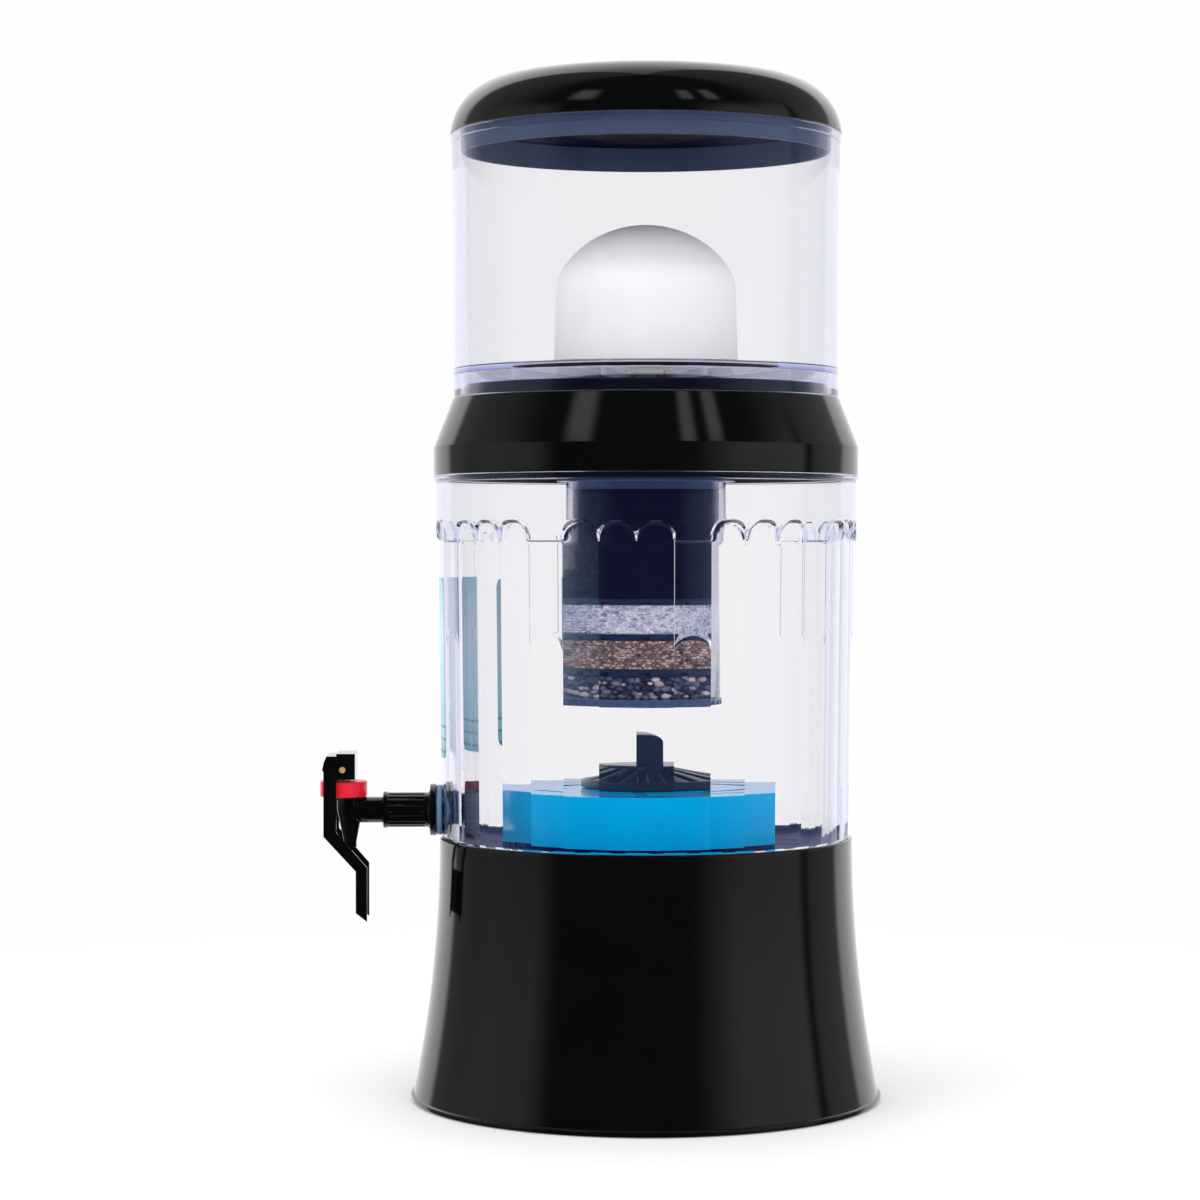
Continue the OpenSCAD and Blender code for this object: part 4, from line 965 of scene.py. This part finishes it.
def grip_mesh():
    """The upright grip, round at one top corner."""
    outline = [(-GRIP_HALF, 0), (GRIP_HALF, 0, 1.0), (GRIP_HALF, 8.8)]
    outline += [(GRIP_HALF, GRIP_H, 6.8), (-GRIP_HALF, GRIP_H, 0.8)]
    grip = prism(fillet(outline, 8), GRIP_L, lambda y, z, x: (x, y + 1.1, Z_KNOB_TOP - 1 + z))
    return finish_mesh(*grip, sharp=32, rounding=(0.7, 50))


knob = lathe(fillet(knob_profile), 384, knob_ripple, 40)
piece("knob_moulding", knob, navy, "tray_knob", "tray_knob")
piece("knob_grip", grip_mesh(), navy, "tray_knob")

# ---- tap
BARREL_Y, BARREL_END = 103.815, 126.315
FLANGE_Y = 100.815
SHANK_END = 79.615
SHANK_R, BORE_R, SPIGOT_BORE_R = 8.0, 4.2, 5.7
FLANGE_R = 12.4
BARREL_R = 8.3
RING_R = 8.75
shank_profile = [(BORE_R, SHANK_END, 0.3), (SHANK_R, SHANK_END, 0.6), (SHANK_R, FLANGE_Y)]
shank_profile += [(FLANGE_R, FLANGE_Y, 0.4), (FLANGE_R, BARREL_Y, 0.5)]
shank_profile += at(BARREL_Y, (9.5, 0.05), (BARREL_R, 1.2, 0.4), (BARREL_R, 2.6), (BARREL_R, 3.2))
shank_profile += at(BARREL_END, (BARREL_R, -3), (BARREL_R, -2.2), (RING_R, -2, 0.2), (RING_R, 0, 0.4))
shank_profile += at(BARREL_END, (SPIGOT_BORE_R, 0, 0.3), (SPIGOT_BORE_R, -15), (BORE_R, -15))


def on_barrel(r, y):
    return abs(r - BARREL_R) < 0.02 and BARREL_Y + 3 < y < BARREL_END - 2.7


shank = lathe(fillet(shank_profile, 4), 256, grooves(16, 0.5, 0.45, on_barrel), place=front)
piece("tap_shank_moulding", shank, black, "lower_tank", "tap_shank")


def thread_mesh(r, y0, y1, pitch, depth):
    """A low helical thread round the tap's axis, which fades out at both ends."""
    turns = (y1 - y0) / pitch
    steps = int(turns * 40)
    section = [(-0.45, -0.2), (-0.1, depth), (0.1, depth), (0.45, -0.2)]

    def point(k, corner):
        dy, dr = section[corner]
        a = tau * turns * k / steps
        y = y0 + (y1 - y0) * k / steps + dy * pitch * 0.5
        return front(r + dr * min(1, k / 8, (steps - k) / 8), y, cos(a), sin(a))

    return finish_mesh(*wire(steps, len(section), point), sharp=30)


piece("tap_shank_thread", thread_mesh(7.7, 80.3, 91.5, 1.8, 0.5), black, "lower_tank")

SEAL_IN_R, SEAL_R = 8.1, 12.0
seal_y = (PAD_Y + 0.05, FLANGE_Y - 0.045)
seal_profile = [(SEAL_IN_R, seal_y[0], 0.3), (SEAL_R, seal_y[0], 0.9)]
seal_profile += [(SEAL_R, seal_y[1], 0.9), (SEAL_IN_R, seal_y[1], 0.3)]
outer_seal = lathe(fillet(seal_profile), 128, place=front)
piece("tap_outer_seal", outer_seal, grey_seal, "lower_tank", "tap_outer_gasket")
dressed("tap_inner_seal", "tap_inner_gasket", grey_seal, "lower_tank", 0.3)
dressed("tap_ring_nut", "tap_lock_nut", navy, "lower_tank", 0.4)
dressed("tap_seal_ring", "tap_o_ring", rubber, "lower_tank", 0.2)


def loft(rings, segments=96):
    """A closed skin through circles (height, distance in front, radius) and back to the first one."""
    turns = [tau * k / segments for k in range(segments)]
    verts = [(r * cos(a), -y + r * sin(a), z) for z, y, r in rings for a in turns]
    starts = [i * segments for i in range(len(rings))]
    pairs = zip(starts, starts[1:] + starts[:1])
    return verts, [face for a, b in pairs for face in strip(a, b, segments)]


FUNNEL_Y, SPOUT_Y = VALVE_Y - 2.9, VALVE_Y - 3.1
FUNNEL_R, SPOUT_OUT_R, SPIGOT_R, SEAT_R = 6.2, 3.1, 5.55, 9.4
Z_MOUTH = 120.1
funnel = ((144.6, 0.01), (144.6, 5.8), (144.1, FUNNEL_R), (TAP_Z, FUNNEL_R))
spout = [(z, FUNNEL_Y, r) for z, r in funnel]
for t in [k / 9 for k in range(1, 9)]:
    spout.append((TAP_Z - 15.2 * t, FUNNEL_Y - 0.2 * t, FUNNEL_R - 3.1 * t))
mouth = ((3.0, SPOUT_OUT_R), (0.4, SPOUT_OUT_R), (0, 2.8), (0, 2.3), (0.4, 2.05), (9, 1.9), (13, 0.01))
spout += [(Z_MOUTH + dz, SPOUT_Y, r) for dz, r in mouth]
neck = [(0, BARREL_END + 0.2), (FUNNEL_R, BARREL_END + 0.2, 0.5), (FUNNEL_R, FUNNEL_Y), (0, FUNNEL_Y)]
seat = [(0, 143.7), (SEAT_R, 143.7, 0.5), (SEAT_R, 149.8), (0, 149.8)]
spigot = [(4.0, 111.4), (SPIGOT_R, 111.4, 0.4), (SPIGOT_R, BARREL_END + 1), (4.0, BARREL_END + 1)]
tap_body = join(
    loft(spout),
    revolve(fillet(neck), 96, place=front),
    revolve(fillet(seat), 96, place=over_valve),
    revolve(fillet(spigot), 64, place=front),
)
piece("tap_body_moulding", finish_mesh(*tap_body), black, "lower_tank", "tap_body")

BONNET_R, BONNET_IN_R, STEM_HOLE_R = 11.35, 9.5, 2.0
bonnet_profile = at(Z_BONNET, (BONNET_IN_R, 0), (BONNET_R, 0, 0.9), (BONNET_R, 7.8, 1.0))
bonnet_profile += at(Z_BONNET, (STEM_HOLE_R, 7.8, 0.2), (STEM_HOLE_R, 6.2), (BONNET_IN_R, 6.2))
bonnet = lathe(fillet(bonnet_profile, 8), 192, place=over_valve)
piece("tap_bonnet_cap", bonnet, red, "lower_tank", "tap_bonnet")
dressed("valve_rod", "valve_stem", white_plastic, "tap_stem", 0.25)
dressed("valve_seal", "valve_plug", soft_seal, "tap_stem", 0.2)
dressed("tap_lever_moulding", "tap_lever", black, "tap_lever", 0.35)
dressed("tap_lever_pin", "lever_pin", brass, "tap_lever", 0.15)


def spring_mesh():
    """Two turns of round wire over the valve."""
    z0, z1, wire_r, coil_r, turns = 147.4, 150.6, 0.25, 3.1, 2.0
    steps, sides = 120, 10

    def point(k, s):
        a, b = tau * turns * (k / steps), tau * s / sides
        z = z0 + (z1 - z0) * (k / steps)
        return over_valve(coil_r + wire_r * cos(b), z + wire_r * sin(b), cos(a), sin(a))

    return finish_mesh(*wire(steps, sides, point))


spring = piece("valve_spring", spring_mesh(), steel, "lower_tank", "return_spring")
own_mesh(spring)

# ---- studio
# Metres and degrees; the camera's azimuth is counted from the tap's side
CAM_AZIMUTH = 87.5
CAM_DISTANCE = 1.542
CAM_HEIGHT = 0.2666
CAM_TURN, CAM_DOWN = 0.82, 1.02


def round_object(side, height, distance):
    """A place round the object: side is degrees from the camera's own direction."""
    a = radians(CAM_AZIMUTH + side)
    return (distance * sin(a), -distance * cos(a), height)


def aim(obj, where, look):
    """Puts a camera or a light at a place and turns it to look along a direction."""
    obj.location = where
    obj.rotation_mode = "QUATERNION"
    obj.rotation_quaternion = look.to_track_quat("-Z", "Y")


def hide(obj, *kinds):
    for kind in kinds:
        setattr(obj, "visible_" + kind, False)


camera = add_object("camera", bpy.data.cameras.new("camera"))
camera.data.lens = 96
camera.data.sensor_width = 36
camera.data.clip_start = 0.05
camera.data.clip_end = 50
heading, down = radians(CAM_AZIMUTH + 90 + CAM_TURN), radians(CAM_DOWN)
ahead = (cos(heading) * cos(down), sin(heading) * cos(down), -sin(down))
aim(camera, round_object(0, CAM_HEIGHT, CAM_DISTANCE), Vector(ahead))
bpy.context.scene.camera = camera


def area_light(name, where, size, watts):
    """A soft light that looks at the middle of the object."""
    data = bpy.data.lights.new(name, "AREA")
    data.shape = "RECTANGLE"
    data.size, data.size_y = size
    data.energy = watts
    light = add_object(name, data)
    aim(light, where, Vector((0, 0, 0.25)) - Vector(where))
    hide(light, "glossy", "camera", "transmission")


area_light("key", round_object(-48, 1.5, 1.9), (1.4, 1.4), 12)
area_light("fill", round_object(30, 0.7, 1.9), (1.3, 1.3), 10)
area_light("top", (0.1, 0.1, 2.3), (1.6, 1.6), 8)
area_light("back", round_object(180, 1.4, 2.0), (1.8, 1.2), 6)


def white_world():
    """A white world: strength 1 for light, and the background's own white for what is seen."""
    m = Nodes("studio", world=True)
    ambient = m.add("Background", Color=grey(1), Strength=1.0).outputs[0]
    white = m.add("Background", Color=grey(0.992), Strength=1.0).outputs[0]
    return m.surface(m.mix_shader(m.rays("Camera", "Glossy", "Transmission"), ambient, white))


bpy.context.scene.world = white_world()


def floor_stage():
    """A pale round floor that keeps the object's shadow and fades into the background at its edge."""
    bm = bmesh.new()
    bmesh.ops.create_circle(bm, cap_ends=True, segments=128, radius=3.0)
    floor = add_object("floor", bpy.data.meshes.new("floor"))
    bm.to_mesh(floor.data)
    bm.free()
    floor.location = (0, 0, -0.0002)
    m = Nodes("studio_floor")
    tone = m.ramp(m.noise(3, 2), (0.3, grey(0.8)), (0.7, grey(0.82)))
    shade = m.principled(Base_Color=tone, Roughness=0.9, Specular_IOR_Level=0.1)
    seen = m.rays("Camera", "Glossy", "Transmission")
    glow = m.add("Emission", Color=grey(1), Strength=m.sums("MULTIPLY", seen, 0.1))
    lit = m.add("AddShader", shade, glow.outputs[0]).outputs[0]
    length = m.add("VectorMath", m.coord(), operation="LENGTH").outputs["Value"]
    fade = m.sums("MULTIPLY", m.spread(length, 0, 1, (0.25, 0.7)), seen)
    floor.data.materials.append(m.surface(m.mix_shader(fade, lit, m.see_through())))
    hide(floor, "glossy")


floor_stage()


def flag_level(side, rise):
    """How bright the studio's dark flags look, by direction from the camera's and by elevation."""
    out_side = abs(side)
    low = 1 - smooth(25, 42, rise)
    tall = 0.75 + 0.25 * smooth(-3, 5, rise)
    if side > 0:
        low_level = 0.5 * smooth(22, 56, side) - 0.2 * smooth(90, 98, side)
        low_level -= 0.3 * exp(-(((side - 95.5) / 4) ** 2))
    else:
        low_level = 0.36 * smooth(46, 64, out_side) - 0.12 * smooth(85, 110, out_side)
    level = 0.03 + low_level * low * tall + 0.2 * smooth(60, 100, out_side) * (1 - low)
    for centre, wide, strength in ((-42, 8.5, 1.0), (26.5, 4.5, 0.95), (43.5, 4.5, 1.0)):
        card = exp(-(((side - centre) / wide) ** 4))
        level += strength * card * smooth(40, 45, rise) * (1 - smooth(54, 60, rise))
    if rise < 0:
        level *= 1 - 0.6 * smooth(0, -12, rise)
    start = 124 + 0.4 * max(rise, 0) if side > 0 else 126 + 0.16 * max(rise, 0)
    back = smooth(start, start + 7, out_side) * (1 - 0.6 * smooth(60, 85, rise))
    bright = 1.1 + 0.5 * smooth(15, 40, rise)
    return max(0.02, level * (1 - back) + bright * back)


def leave_colour(side, rise):
    """The same for rays that have been reflected inside clear walls and leave them."""
    out_side = abs(side)
    front_tone, flank_tone, back_tone = (0.05, 0.055, 0.17), (0.24, 0.3, 0.42), (0.88, 0.89, 0.98)
    steep_tone = (0.5, 0.52, 0.74)
    t = smooth(45, 75, out_side)
    u = smooth(112, 130, out_side)
    w = smooth(25, 50, abs(rise)) * (1 - u)
    tones = zip(front_tone, flank_tone, back_tone)
    level = [(f * (1 - t) + m * t) * (1 - u) + b * u for f, m, b in tones]
    return tuple(a * (1 - w) + b * w for a, b in zip(level, steep_tone)) + (1.0,)


def flags():
    """A sphere of dark cards that only reflections see, also the ones that leave through clear walls."""
    cols, rows, radius = 360, 90, 3.2
    spots = [(-180 + 360 * j / cols, -90 + 180 * i / rows) for i in range(rows + 1) for j in range(cols)]
    glow = [flag_level(*spot) for spot in spots]
    leave = [value for spot in spots for value in leave_colour(*spot)]
    verts = [round_object(a, sin(radians(b)) * radius, cos(radians(b)) * radius) for a, b in spots]
    faces = [face for i in range(rows) for face in strip(i * cols, (i + 1) * cols, cols)]
    mesh = bpy.data.meshes.new("studio_flags")
    mesh.from_pydata(verts, [], faces)
    mesh.attributes.new("glow", "FLOAT", "POINT").data.foreach_set("value", glow)
    mesh.attributes.new("leave", "FLOAT_COLOR", "POINT").data.foreach_set("color", leave)
    m = Nodes("studio_flags")
    first = m.add("Attribute", attribute_name="glow").outputs["Fac"]
    later = m.add("Attribute", attribute_name="leave").outputs["Color"]
    level = m.mix_colour(m.rays("Transmission", caught=True), first, later)
    light = m.add("Emission", Color=level).outputs[0]
    mirrored = m.sums("GREATER_THAN", m.add("LightPath").outputs["Glossy Depth"], 0.5)
    mesh.materials.append(m.surface(m.mix_shader(mirrored, m.see_through(), light)))
    sphere = add_object("studio_flags", mesh)
    hide(sphere, "camera", "diffuse", "volume_scatter", "shadow")


flags()
bpy.context.scene.view_settings.view_transform = "Standard"
